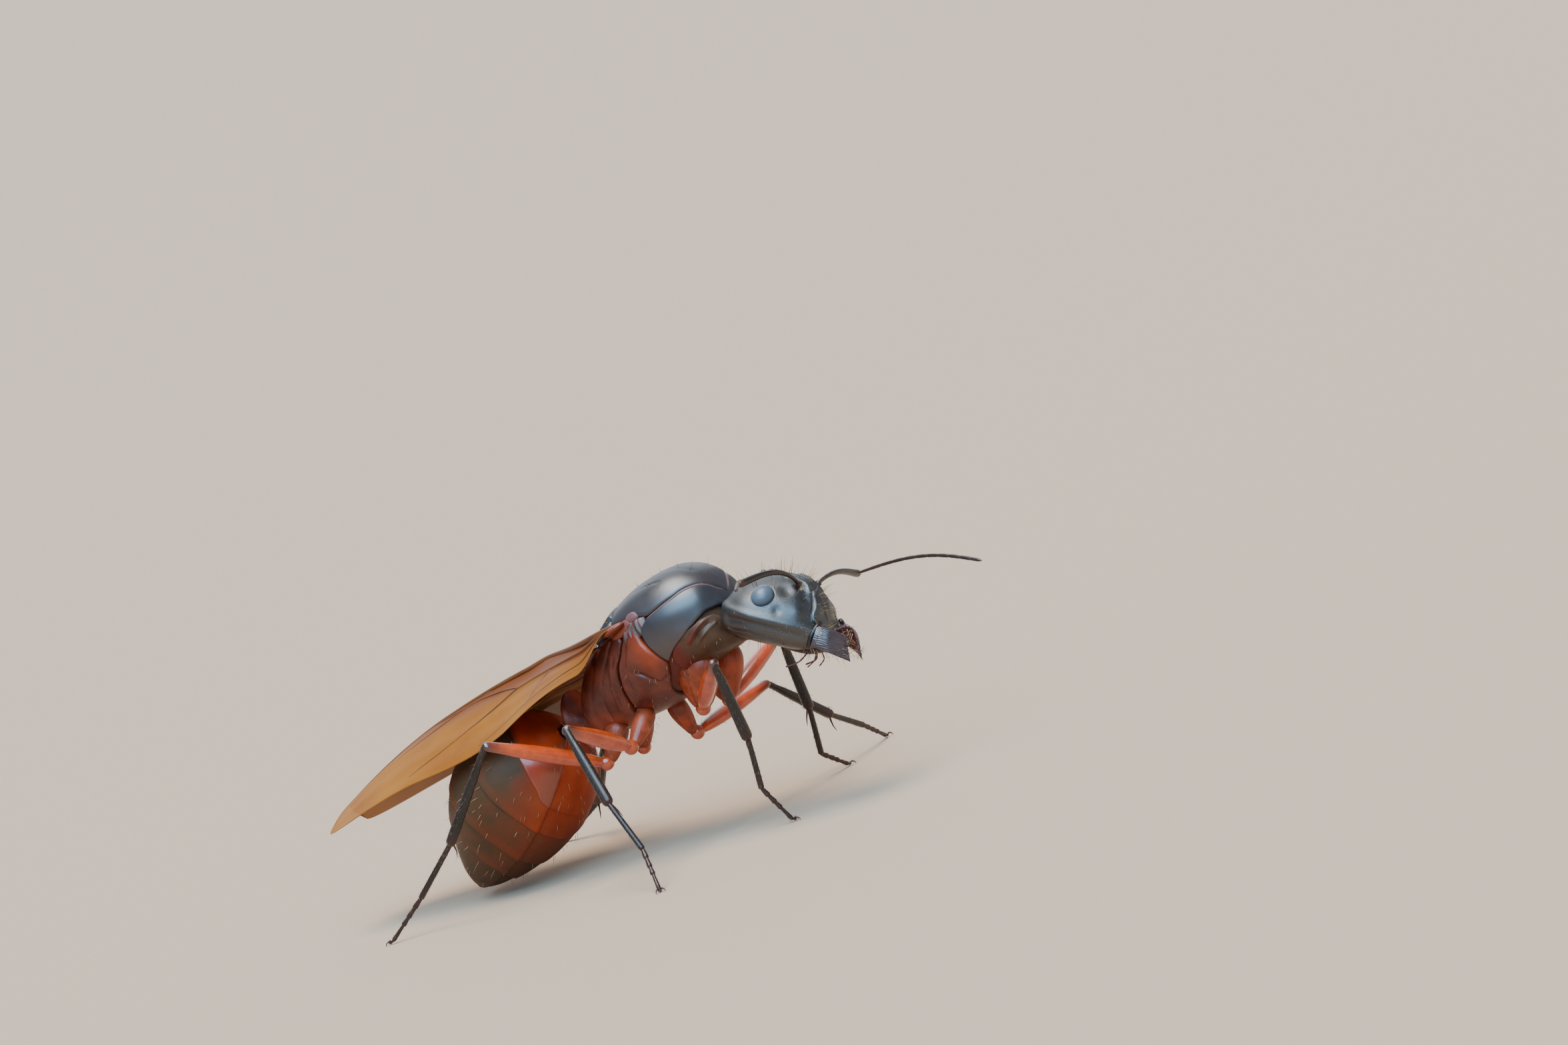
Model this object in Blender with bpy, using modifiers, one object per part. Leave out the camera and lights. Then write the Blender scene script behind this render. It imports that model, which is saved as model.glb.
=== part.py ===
"""A winged carpenter ant queen as a still, life-size model, standing on six feet.

Frame: +X is the ant's heading, +Y its left side, +Z up, with the feet on z = 0 and the origin
under the middle of the whole model. Everything below is written in millimetres and scaled once
by MM, so that the sizes read as an entomologist would quote them.
"""
import math

import bmesh
import bpy
from mathutils import Euler, Matrix, Vector

MM = 0.001
GAP = 0.3                      # clearance between neighbouring pieces
LEG_SIDES = 8

# ---- Body carriage -------------------------------------------------------------------------
BODY_HEIGHT = 5.2              # centre of the mesosoma above the floor
BODY_PITCH = 4.4               # degrees, nose up
BODY_ROLL = -4.8               # degrees, left side lower
HEAD_PLACE = (3.69, 0.0, -0.25)
HEAD_PITCH = -29.0             # face turned down from the line of the mesosoma
HEAD_ROLL = -9.0               # left cheek lower
GASTER_PLACE = (-3.7, 0.0, -0.92)
GASTER_PITCH = 36.0            # tip hangs below the line of the mesosoma

# ---- Legs: coxa, femur with trochanter, tibia, basitarsus, rest of the tarsus ---------------
LEG_LENGTHS = {
    "fore": (1.55, 2.75, 2.3, 1.35, 1.15),
    "mid": (1.05, 2.75, 2.5, 1.5, 1.3),
    "hind": (1.05, 3.45, 3.15, 1.9, 1.45),
}
LEG_ROOTS = {"fore": (1.24, 0.71, -0.62), "mid": (-0.63, 0.89, -1.5), "hind": (-2.0, 0.7, -1.47)}
# Azimuth from the heading towards the leg's own side, and elevation, in degrees; the last
# piece of each tarsus finds its own slope, down to the floor.
LEG_POSE = {
    "fore_r": ((-153, -64), (39, 29), (72, -104), (-157, -81), (-45,)),
    "mid_r": ((123, -41), (91, 28), (39, -53), (24, -58), (51,)),
    "hind_r": ((157, -64), (126, 29), (180, -46), (180, -38), (163,)),
    "fore_l": ((174, -66), (78, 21), (118, -75), (141, -72), (88,)),
    "mid_l": ((154, -74), (71, 8), (82, -39), (92, -28), (100,)),
    "hind_l": ((160, -62), (140, 4), (146, -38), (168, -25), (175,)),
}
# Radii at the start, a quarter of the way, the middle and the end of each piece.
LEG_RADII = {
    "coxa": (0.36, 0.42, 0.38, 0.28),
    "femur": (0.25, 0.33, 0.31, 0.25),
    "tibia": (0.25, 0.25, 0.26, 0.26),
    "tarsus": (0.25, 0.25, 0.25, 0.25),
}
COXA_SCALE = {"fore": 1.15, "mid": 1.0, "hind": 1.0}
FOOT_HEIGHT = 0.05             # the tarsus's axis at its tip, above the floor
FOOT_REACH = 0.12              # how far its rounded end passes the tip
LIMB_SWELL = (0.25, 0.6)       # shares of a joint's length where its two middle radii are

# ---- Antennae, in the head's frame ----------------------------------------------------------
ANTENNA_SOCKET = (0.76, 0.45, 0.86)
SCAPE_LENGTH = 2.75
SCAPE_BOW = 0.38               # rise of the scape's middle over the brow
FLAGELLUM_LENGTH = 4.1
SCAPE_AIM = {"r": (95, 3), "l": (98, 3)}
FLAGELLUM_AIM = {"r": (60, 6), "l": (-9, 16)}
ANTENNA_RADIUS = 0.25

# ---- Eyes and mandibles, in the head's frame -------------------------------------------------
EYE_PLACE = (0.1, 1.15, 0.48)
EYE_SEMI_AXES = (0.3, 0.24, 0.32)
EYE_TILT = 45.0
EYE_GROOVE = 0.15
MANDIBLE_BASE = (1.72, 0.68, -0.36)
MANDIBLE_TIP = (2.36, 0.33, -0.56)
MANDIBLE_BOW = (0.1, 0.16, 0.02)     # how far its middle stands off the line from base to tip
MANDIBLE_WIDTH = (0.2, 0.13)        # half widths at the base and at the tip
MANDIBLE_DEPTH = (0.34, 0.3)         # half depths at the base and at the tip

# ---- Wings, in the mesosoma's frame ----------------------------------------------------------
WING_THICKNESS = 0.5
WING_FOLD_REACH = 7.0          # distance behind the hinge over which a wing sinks to the full roof
ROOF_DROP = 1.44               # fall of the folded wings from the ridge to ROOF_HALF_WIDTH
WING_ARCH = 0.25               # rise of the ridge over the outer part of the wings
ARCH_START = 0.35              # share of the fore wing's length where that rise starts
WING_DROOP = 0.75              # how far the outer edges hang beside the body, before the roof
DROOP_START = 0.12             # share of the fore wing's length by which they hang fully
WING_FLAP = 0.25               # share of WING_DROOP that still hangs about FLAP_PLACE
FLAP_PLACE = 0.4
FLAP_SPREAD = 0.16
ROOF_HALF_WIDTH = 2.2
RIDGE_HEIGHT = 1.0             # the ridge along the midline, at the mesosoma's middle
RIDGE_SLOPE = 0.06             # its sink in each mm rearward
RIDGE_SAG = 0.010              # and its further sink with the square of the distance
WING_STEP = 1.05               # drop from a fore wing to the hind wing that lies under it
OUTER_SWEEP = 0.7              # how far the outer edge draws in from root to tip
TIP_START = 0.8                # share of the length at which the round tip begins
TIP_TUCK = 0.25                # how far the outer edge turns in round the tip
CHORD_OPEN = 0.45              # share of the length over which the chord opens to its full
LEAST_CHORD = 0.15
FORE_WING = {"root": (-0.3, 1.8, 0.85), "length": 11.6, "chord": 2.4, "bow": 0.5,
             "below": 0.0, "inner": 0.2}
HIND_WING = {"root": (-1.3, 1.75, 0.85), "length": 5.6, "chord": 1.1, "bow": 0.45,
             "below": WING_STEP, "inner": 1.2}


def clear_scene():
    """Remove every object that the startup file brings."""
    for item in list(bpy.data.objects):
        bpy.data.objects.remove(item, do_unlink=True)


def make_material(name, colour, roughness):
    """A Principled BSDF of one colour."""
    material = bpy.data.materials.new(name)
    material.use_nodes = True
    shader = material.node_tree.nodes["Principled BSDF"]
    shader.inputs["Base Color"].default_value = (*colour, 1.0)
    shader.inputs["Roughness"].default_value = roughness
    shader.inputs["Metallic"].default_value = 0.0
    return material


def make_frame(name, parent, place, pitch, roll=0.0):
    """An empty at a place in its parent's frame, turned nose up by pitch and left down by -roll."""
    frame = bpy.data.objects.new(name, None)
    frame.empty_display_size = MM
    frame.location = Vector(place) * MM
    frame.rotation_euler = Euler((math.radians(roll), -math.radians(pitch), 0.0))
    frame.parent = parent
    COLLECTION.objects.link(frame)
    return frame


def add_piece(name, bm, material, parent):
    """Turn a bmesh in millimetres into a named object in metres under its frame."""
    bmesh.ops.scale(bm, vec=(MM, MM, MM), verts=bm.verts)
    bmesh.ops.recalc_face_normals(bm, faces=bm.faces)
    mesh = bpy.data.meshes.new(name)
    bm.to_mesh(mesh)
    bm.free()
    mesh.materials.append(material)
    mesh.shade_smooth()
    mesh.set_sharp_from_angle(angle=math.radians(40))
    piece = bpy.data.objects.new(name, mesh)
    piece.parent = parent
    COLLECTION.objects.link(piece)
    return piece


def bridge_rings(rings):
    """A closed skin over a row of rings that all have the same number of points."""
    bm = bmesh.new()
    rows = [[bm.verts.new(point) for point in ring] for ring in rings]
    count = len(rows[0])
    for row, following in zip(rows, rows[1:]):
        for i in range(count):
            j = (i + 1) % count
            bm.faces.new((row[i], row[j], following[j], following[i]))
    bm.faces.new(rows[0][::-1])
    bm.faces.new(rows[-1])
    return bm


def smooth_value(points, t):
    """Catmull-Rom value of a row of tuples at t, which counts tuples from 0."""
    i = min(int(t), len(points) - 2)
    f = t - i
    before = points[max(i - 1, 0)]
    after = points[min(i + 2, len(points) - 1)]
    result = []
    for a, b, c, d in zip(before, points[i], points[i + 1], after):
        result.append(b + 0.5 * f * (c - a + f * (2 * a - 5 * b + 4 * c - d + f * (3 * (b - c) + d - a))))
    return result


def body_loft(stations, rings, sides, power=2.3, upper_power=None):
    """Loft along X through stations (x, top, waist, bottom, half width).

    Each ring is a superellipse whose widest level, the waist, need not be its middle. Its upper
    half takes its own power where one is given.
    """
    loops = []
    for k in range(rings + 1):
        x, top, waist, bottom, half_width = smooth_value(stations, k * (len(stations) - 1) / rings)
        ring = []
        for i in range(sides):
            angle = 2 * math.pi * i / sides
            bend = 2 / (upper_power if upper_power and math.sin(angle) > 0 else power)
            across = math.copysign(abs(math.cos(angle)) ** bend, math.cos(angle))
            up = math.copysign(abs(math.sin(angle)) ** bend, math.sin(angle))
            rise = top - waist if up > 0 else waist - bottom
            ring.append(Vector((x, half_width * across, waist + rise * up)))
        loops.append(ring)
    return bridge_rings(loops)


def keep_behind(bm, point, normal):
    """Cut a closed mesh on a plane, keep the side that the normal points away from, and close it."""
    bmesh.ops.bisect_plane(
        bm, geom=bm.verts[:] + bm.edges[:] + bm.faces[:], dist=1e-6,
        plane_co=Vector(point), plane_no=Vector(normal), clear_outer=True)
    rim = [edge for edge in bm.edges if edge.is_boundary]
    if rim:
        bmesh.ops.holes_fill(bm, edges=rim, sides=0)
    return bm


def cut_slice(whole, planes):
    """A copy of a closed mesh, trimmed by planes (point, outward normal), half a gap short of each."""
    piece = whole.copy()
    for point, normal in planes:
        outward = Vector(normal).normalized()
        keep_behind(piece, Vector(point) - outward * GAP / 2, outward)
    return piece


def direction(azimuth, elevation, side):
    """Unit vector at an azimuth from the heading towards a side (+1 left, -1 right)."""
    a, e = math.radians(azimuth), math.radians(elevation)
    return Vector((math.cos(e) * math.cos(a), side * math.cos(e) * math.sin(a), math.sin(e)))


def limb_piece(points, radii, cut_start, cut_end):
    """A tapering tube through points, whose two ends are trimmed flat on planes (point, normal)."""
    rings = []
    for k, (point, radius) in enumerate(zip(points, radii)):
        ahead = points[min(k + 1, len(points) - 1)] - points[max(k - 1, 0)]
        along = ahead.normalized()
        aside = along.cross(Vector((0, 0, 1)) if abs(along.z) < 0.9 else Vector((1, 0, 0))).normalized()
        over = aside.cross(along)
        ring = []
        for i in range(LEG_SIDES):
            angle = 2 * math.pi * (i + 0.5) / LEG_SIDES
            ring.append(point + radius * (math.cos(angle) * aside + math.sin(angle) * over))
        rings.append(ring)
    bm = bridge_rings(rings)
    for plane in (cut_start, cut_end):
        if plane:
            keep_behind(bm, *plane)
    return bm


# ---- Head ------------------------------------------------------------------------------------
HEAD_STATIONS = (
    (-1.35, -0.2, -0.38, -0.68, 0.5),
    (-1.2, 0.34, -0.24, -0.86, 1.0),
    (-0.86, 0.75, -0.14, -0.91, 1.29),
    (-0.2, 0.98, -0.1, -0.9, 1.46),
    (0.4, 1.0, -0.12, -0.89, 1.39),
    (0.86, 0.84, -0.2, -0.87, 1.19),
    (1.18, 0.46, -0.27, -0.8, 0.96),
    (1.4, 0.1, -0.32, -0.67, 0.76),
    (1.5, -0.1, -0.36, -0.58, 0.56),
)
HEAD_POWERS = (2.2, 1.75)            # of the cross-section's lower and upper halves


def eye_shape(side, extra):
    """Ellipsoid of an eye, or of its socket with extra room all round."""
    bm = bmesh.new()
    bmesh.ops.create_uvsphere(bm, u_segments=16, v_segments=10, radius=1.0)
    size = Vector(EYE_SEMI_AXES) + Vector((extra, extra, extra))
    turn = Matrix.Rotation(side * math.radians(EYE_TILT), 3, "X")
    place = Vector((EYE_PLACE[0], side * EYE_PLACE[1], EYE_PLACE[2]))
    bmesh.ops.transform(bm, matrix=turn.to_4x4() @ Matrix.Diagonal((*size, 1.0)), verts=bm.verts)
    bmesh.ops.translate(bm, vec=place, verts=bm.verts)
    return bm


def make_cutter(name, bm, frame):
    """A hidden object that only serves to cut others."""
    cutter = add_piece(name, bm, BLACK, frame)
    COLLECTION.objects.unlink(cutter)
    CUTTERS.objects.link(cutter)
    cutter.hide_render = True
    cutter.display_type = "WIRE"
    return cutter


def subtract(piece, cutter):
    """Cut a cutter's form out of a piece."""
    cut = piece.modifiers.new(cutter.name, "BOOLEAN")
    cut.operation = "DIFFERENCE"
    cut.object = cutter


def inflated(stations, extra):
    """Stations of the same form with extra room all round, for cutting its neighbours."""
    result = []
    for k, (x, top, waist, bottom, half_width) in enumerate(stations):
        reach = 0.0
        if k == 0:
            reach = math.copysign(extra, x - stations[-1][0])
        if k == len(stations) - 1:
            reach = math.copysign(extra, x - stations[0][0])
        result.append((x + reach, top + extra, waist, bottom - extra, half_width + extra))
    return result


def mandible_shape(side):
    """A curved jaw blade, deep at its hinge, that bends inward and narrows to its tip."""
    base = Vector((MANDIBLE_BASE[0], side * MANDIBLE_BASE[1], MANDIBLE_BASE[2]))
    tip = Vector((MANDIBLE_TIP[0], side * MANDIBLE_TIP[1], MANDIBLE_TIP[2]))
    bow = Vector((MANDIBLE_BOW[0], side * MANDIBLE_BOW[1], MANDIBLE_BOW[2]))
    steps = 6
    rings = []
    for k in range(steps + 1):
        t = k / steps
        centre = base.lerp(tip, t) + bow * math.sin(math.pi * t)
        along = ((tip - base).normalized() + bow * 2 * math.cos(math.pi * t)).normalized()
        across = Vector((0, side, 0)) - along * along.y * side
        deep = along.cross(across).normalized()
        width = MANDIBLE_WIDTH[0] + (MANDIBLE_WIDTH[1] - MANDIBLE_WIDTH[0]) * t
        depth = MANDIBLE_DEPTH[1] + (MANDIBLE_DEPTH[0] - MANDIBLE_DEPTH[1]) * (1 - t) ** 0.7
        ring = []
        for i in range(10):
            angle = 2 * math.pi * i / 10
            spoke = across.normalized() * width * math.cos(angle) + deep * depth * math.sin(angle)
            ring.append(centre + spoke)
        rings.append(ring)
    return bridge_rings(rings)


def build_head(head_frame):
    """Head capsule with its eye sockets, the eyes, the mandibles and both antennae."""
    head = add_piece("head", body_loft(HEAD_STATIONS, 14, 20, *HEAD_POWERS), BLACK, head_frame)
    for tag, side in SIDES:
        subtract(head, make_cutter("eye_socket_" + tag, eye_shape(side, EYE_GROOVE), head_frame))
        add_piece("eye_" + tag, eye_shape(side, 0.0), EYE_GREY, head_frame)
        add_piece("mandible_" + tag, mandible_shape(side), JAW_BROWN, head_frame)
        build_antenna(tag, side, head_frame)


def build_antenna(tag, side, head_frame):
    """The long scape, then the flagellum past the elbow, both parted at the mitre of the bend."""
    socket = Vector((ANTENNA_SOCKET[0], side * ANTENNA_SOCKET[1], ANTENNA_SOCKET[2]))
    scape_way = direction(*SCAPE_AIM[tag], side)
    flagellum_way = direction(*FLAGELLUM_AIM[tag], side)
    elbow = socket + scape_way * SCAPE_LENGTH
    mitre = (flagellum_way + scape_way).normalized()
    lift = Vector((0, 0, SCAPE_BOW))
    scape_points = [socket + scape_way * ANTENNA_RADIUS + lift, socket.lerp(elbow, 0.4) + 1.1 * lift,
                    socket.lerp(elbow, 0.7) + 0.7 * lift, elbow + scape_way * 0.6]
    scape = limb_piece(scape_points, [ANTENNA_RADIUS] * 4, None, (elbow - mitre * GAP / 2, mitre))
    add_piece("scape_" + tag, scape, DARK_BROWN, head_frame)
    tip = elbow + flagellum_way * FLAGELLUM_LENGTH
    points = [elbow - flagellum_way * 0.6, elbow.lerp(tip, 0.4), tip]
    flagellum = limb_piece(points, [ANTENNA_RADIUS] * 3, (elbow + mitre * GAP / 2, -mitre), None)
    add_piece("flagellum_" + tag, flagellum, DARK_BROWN, head_frame)


# ---- Mesosoma: one form, parted where its plates meet -----------------------------------------
MESOSOMA_STATIONS = (
    (2.5, 0.1, -0.15, -0.5, 0.3),
    (2.3, 0.85, 0.0, -0.62, 0.72),
    (1.95, 1.4, 0.2, -0.7, 1.1),
    (1.3, 1.72, 0.35, -0.85, 1.4),
    (0.5, 1.74, 0.4, -1.25, 1.52),
    (-0.3, 1.6, 0.3, -1.5, 1.5),
    (-1.1, 1.2, 0.1, -1.58, 1.34),
    (-1.9, 0.55, -0.4, -1.68, 1.08),
    (-2.6, -0.15, -0.9, -1.72, 0.8),
    (-2.95, -0.75, -1.1, -1.5, 0.45),
)
NOTUM_PLANE = ((0, 0, 0.86), (0.02, 0, 1.0))             # back plates above it
PRONOTUM_PLANE = ((0.68, 0, 0.3), (-1.0, 0, -0.345))     # pronotum and propleura ahead of it
NECK_PLANE = ((0.94, 0, -0.39), (0.31, 0, -0.95))        # propleura below it
SCUTELLUM_PLANE = ((-0.45, 0, 1.3), (-1.0, 0, 0.2))      # scutellum behind it
PROPODEUM_PLANE = ((-1.4, 0, 0.0), (-1.0, 0, 0.0))       # propodeum behind it


def opposite(plane):
    """The same plane, facing the other way."""
    point, normal = plane
    return point, tuple(-value for value in normal)


def build_mesosoma(frame, head_room):
    """Six plates cut from one smooth form, which the back of the head dents."""
    whole = body_loft(MESOSOMA_STATIONS, 20, 20, 2.3)
    plates = {
        "mesoscutum": (BLACK, (opposite(NOTUM_PLANE), SCUTELLUM_PLANE)),
        "scutellum": (BLACK, (opposite(NOTUM_PLANE), opposite(SCUTELLUM_PLANE), PROPODEUM_PLANE)),
        "pronotum": (BLACK, (NOTUM_PLANE, PRONOTUM_PLANE, NECK_PLANE)),
        "propleuron": (BROWN, (PRONOTUM_PLANE, opposite(NECK_PLANE))),
        "mesopleuron": (RED_BROWN, (NOTUM_PLANE, opposite(PRONOTUM_PLANE), PROPODEUM_PLANE)),
        "propodeum": (RED_BROWN, (opposite(PROPODEUM_PLANE),)),
    }
    for name, (material, planes) in plates.items():
        plate = add_piece(name, cut_slice(whole, planes), material, frame)
        if name in ("propleuron", "pronotum", "mesoscutum"):
            subtract(plate, head_room)
    whole.free()


# ---- Petiole and gaster -------------------------------------------------------------------------
PETIOLE_STATIONS = (
    (-3.2, -0.95, -1.15, -1.45, 0.35),
    (-3.35, -0.45, -1.0, -1.55, 0.6),
    (-3.5, -0.25, -0.95, -1.58, 0.66),
    (-3.65, -0.6, -1.05, -1.5, 0.42),
)
GASTER_STATIONS = (
    (-0.45, 0.25, 0.0, -0.35, 0.35),
    (-0.7, 1.05, 0.1, -0.8, 1.0),
    (-1.1, 1.6, 0.2, -1.2, 1.5),
    (-1.9, 2.05, 0.3, -1.5, 1.9),
    (-2.8, 2.15, 0.3, -1.55, 1.98),
    (-3.7, 1.95, 0.3, -1.35, 1.75),
    (-4.6, 1.45, 0.25, -0.95, 1.25),
    (-5.3, 0.85, 0.2, -0.5, 0.72),
    (-5.7, 0.4, 0.15, -0.15, 0.25),
)
GASTER_JOINTS = (-1.3, -2.3, -3.35, -4.3)


def build_waist_and_gaster(frame, gaster_frame):
    """The petiole's upright scale, and five gaster segments cut from one egg-shaped form."""
    add_piece("petiole", body_loft(PETIOLE_STATIONS, 6, 12, 2.0), RED_BROWN, frame)
    whole = body_loft(GASTER_STATIONS, 20, 20, 2.0)
    for k in range(len(GASTER_JOINTS) + 1):
        planes = []
        if k > 0:
            planes.append(((GASTER_JOINTS[k - 1], 0, 0), (1, 0, 0)))
        if k < len(GASTER_JOINTS):
            planes.append(((GASTER_JOINTS[k], 0, 0), (-1, 0, 0)))
        material = ORANGE_RED if k == 0 else DARK_BROWN
        add_piece("gaster_%d" % (k + 1), cut_slice(whole, planes), material, gaster_frame)
    whole.free()


# ---- Legs -----------------------------------------------------------------------------------------
def leg_joints(pair, tag, side, body_matrix):
    """World places of a leg's joints, from its root to the tip of its tarsus."""
    x, y, z = LEG_ROOTS[pair]
    joints = [body_matrix @ Vector((x, side * y, z))]
    pose = LEG_POSE[pair + "_" + tag]
    for length, aim in zip(LEG_LENGTHS[pair], pose):
        if len(aim) == 2:
            elevation = aim[1]
        else:
            elevation = -math.degrees(math.asin((joints[-1].z - FOOT_HEIGHT) / length))
        joints.append(joints[-1] + length * direction(aim[0], elevation, side))
    return joints


def build_leg(pair, tag, side, body_matrix, root, body_room):
    """Four pieces cut from one bent limb: coxa, femur, tibia and tarsus, the last flat on the floor."""
    joints = leg_joints(pair, tag, side, body_matrix)
    ways = [(b - a).normalized() for a, b in zip(joints, joints[1:])]
    mitres = [(a + b).normalized() for a, b in zip(ways, ways[1:])]
    for k, part in enumerate(("coxa", "femur", "tibia", "tarsus")):
        start, end, way = joints[k], joints[k + 1], ways[k]
        scale = COXA_SCALE[pair] if part == "coxa" else 1.0
        radii = [radius * scale for radius in LEG_RADII[part]]
        reach = way * 3.0 * radii[0]
        swells = [start.lerp(end, share) for share in LIMB_SWELL]
        points = [start - reach] + swells + [end + reach]
        first_cut = (start + mitres[k - 1] * GAP / 2, -mitres[k - 1]) if k else None
        last_cut = (end - mitres[k] * GAP / 2, mitres[k])
        if part == "coxa":
            points[0] = start
        if part == "tarsus":
            tip = joints[k + 2]
            points = [start - reach, start.lerp(end, 0.5), end, tip + ways[k + 1] * FOOT_REACH]
            last_cut = (Vector((0, 0, 0)), Vector((0, 0, -1)))
        shape = limb_piece(points, radii, first_cut, last_cut)
        piece = add_piece("%s_%s_%s" % (part, pair, tag), shape, LEG_FINISH[part], root)
        if part == "coxa":
            subtract(piece, body_room)


# ---- Wings ----------------------------------------------------------------------------------------
def smooth_step(value):
    """0 below 0, 1 above 1, and a smooth rise between."""
    t = max(0.0, min(1.0, value))
    return t * t * (3 - 2 * t)


def wing_outline(size, s):
    """The outer edge and the chord of a wing at the share s of its length."""
    tip = math.sqrt(max(0.0, 1 - (max(s - TIP_START, 0.0) / (1 - TIP_START)) ** 2))
    opening = 0.2 + 0.8 * smooth_step(s / CHORD_OPEN)
    chord = max(LEAST_CHORD, size["chord"] * opening * tip)
    outer = size["root"][1] + size["bow"] * math.sin(math.pi * s) - OUTER_SWEEP * s * s - TIP_TUCK * (1 - tip)
    return outer, chord


def wing_height(x, across):
    """Height of the folded wings: a ridge along the midline that sinks rearward, and sloping sides."""
    s = (FORE_WING["root"][0] - x) / FORE_WING["length"]
    arch = WING_ARCH * math.sin(math.pi * min(1.0, max(0.0, (s - ARCH_START) / (1 - ARCH_START))))
    ridge = RIDGE_HEIGHT - RIDGE_SLOPE * abs(x) - RIDGE_SAG * x * x + arch
    fall = ROOF_DROP * (abs(across) / ROOF_HALF_WIDTH) ** 1.3
    return ridge - fall


def wing_droop(x, across):
    """How far the wings hang at a place: in full at the fore wing's outer edge, not at its inner one."""
    s = (FORE_WING["root"][0] - x) / FORE_WING["length"]
    outer, chord = wing_outline(FORE_WING, s)
    share = min(1.0, max(0.0, 1 - (outer - across) / chord))
    roofed = smooth_step(s * FORE_WING["length"] / WING_FOLD_REACH)
    flap = WING_FLAP * math.exp(-((s - FLAP_PLACE) / FLAP_SPREAD) ** 2)
    return WING_DROOP * share * (smooth_step(s / DROOP_START) * (1 - roofed) + flap)


def wing_sheet(size, side, rows=18, columns=6):
    """The middle surface of a folded wing, as an open grid from its outer edge to the ridge.

    The wing lies folded back, so its thick leading edge runs along the ridge, and its trailing edge
    is the outer one. Along the length s the outer edge bows outwards and the chord opens, then
    closes in a round tip.
    """
    bm = bmesh.new()
    root_x, _, root_z = size["root"]
    lines = []
    for i in range(rows + 1):
        s = (i / rows) ** 0.9
        x = root_x - size["length"] * s
        outer, chord = wing_outline(size, s)
        spread = smooth_step((root_x - x) / WING_FOLD_REACH)
        line = []
        for j in range(columns + 1):
            across = max(outer - chord * j / columns, size["inner"] + 0.02 * (columns - j))
            height = root_z + (wing_height(x, across) - root_z) * spread
            height -= size["below"] + wing_droop(x, across)
            line.append(bm.verts.new((x, side * across, height)))
        lines.append(line)
    for row, following in zip(lines, lines[1:]):
        for j in range(columns):
            bm.faces.new((row[j], row[j + 1], following[j + 1], following[j]))
    return bm


def build_wings(frame, body_room, gaster_room):
    """Two fore wings that meet at the midline, and the hind wings below their outer parts."""
    for tag, side in SIDES:
        for name, size in (("fore_wing_", FORE_WING), ("hind_wing_", HIND_WING)):
            wing = add_piece(name + tag, wing_sheet(size, side), AMBER, frame)
            thicken = wing.modifiers.new("thickness", "SOLIDIFY")
            thicken.thickness = WING_THICKNESS * MM
            thicken.offset = 0.0
            subtract(wing, body_room)
            subtract(wing, gaster_room)


def stand_on_origin(root):
    """Move the whole ant so that the origin lies under the middle of its box, on the floor."""
    bpy.context.view_layer.update()
    depsgraph = bpy.context.evaluated_depsgraph_get()
    corners = []
    for item in COLLECTION.objects:
        if item.type == "MESH":
            mesh = item.evaluated_get(depsgraph).to_mesh()
            corners += [item.matrix_world @ vertex.co for vertex in mesh.vertices]
    for axis in (0, 1):
        values = [corner[axis] for corner in corners]
        root.location[axis] = -(min(values) + max(values)) / 2
    bpy.context.view_layer.update()


clear_scene()
COLLECTION = bpy.data.collections.new("carpenter_ant_queen")
CUTTERS = bpy.data.collections.new("cutters")
bpy.context.scene.collection.children.link(COLLECTION)
bpy.context.scene.collection.children.link(CUTTERS)
SIDES = (("r", -1), ("l", 1))
BLACK = make_material("black_shell", (0.02, 0.022, 0.03), 0.3)
BROWN = make_material("brown_shell", (0.06, 0.03, 0.022), 0.35)
RED_BROWN = make_material("red_brown_shell", (0.16, 0.03, 0.015), 0.3)
ORANGE_RED = make_material("orange_red_shell", (0.5, 0.07, 0.015), 0.25)
DARK_BROWN = make_material("dark_brown_shell", (0.03, 0.018, 0.014), 0.35)
JAW_BROWN = make_material("jaw_brown", (0.05, 0.015, 0.015), 0.3)
EYE_GREY = make_material("eye_grey", (0.08, 0.11, 0.16), 0.4)
AMBER = make_material("amber_wing", (0.5, 0.22, 0.05), 0.3)
LEG_FINISH = {"coxa": ORANGE_RED, "femur": ORANGE_RED, "tibia": DARK_BROWN, "tarsus": DARK_BROWN}

ant = make_frame("ant", None, (0, 0, 0), 0.0)
mesosoma_frame = make_frame("mesosoma_frame", ant, (0, 0, BODY_HEIGHT), BODY_PITCH, BODY_ROLL)
head_frame = make_frame("head_frame", mesosoma_frame, HEAD_PLACE, HEAD_PITCH, HEAD_ROLL)
gaster_frame = make_frame("gaster_frame", mesosoma_frame, GASTER_PLACE, GASTER_PITCH)
bpy.context.view_layer.update()

build_head(head_frame)
head_room = make_cutter("head_room", body_loft(inflated(HEAD_STATIONS, GAP), 14, 20, *HEAD_POWERS), head_frame)
gaster_space = body_loft(inflated(GASTER_STATIONS, GAP), 20, 20, 2.0)
gaster_room = make_cutter("gaster_room", gaster_space, gaster_frame)
body_room = make_cutter("body_room", body_loft(inflated(MESOSOMA_STATIONS, GAP), 20, 20), mesosoma_frame)
build_mesosoma(mesosoma_frame, head_room)
build_waist_and_gaster(mesosoma_frame, gaster_frame)
body_matrix = Matrix.Scale(1 / MM, 4) @ mesosoma_frame.matrix_world @ Matrix.Scale(MM, 4)
for leg_pair in LEG_LENGTHS:
    for leg_tag, leg_side in SIDES:
        build_leg(leg_pair, leg_tag, leg_side, body_matrix, ant, body_room)
build_wings(mesosoma_frame, body_room, gaster_room)
stand_on_origin(ant)
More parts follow.
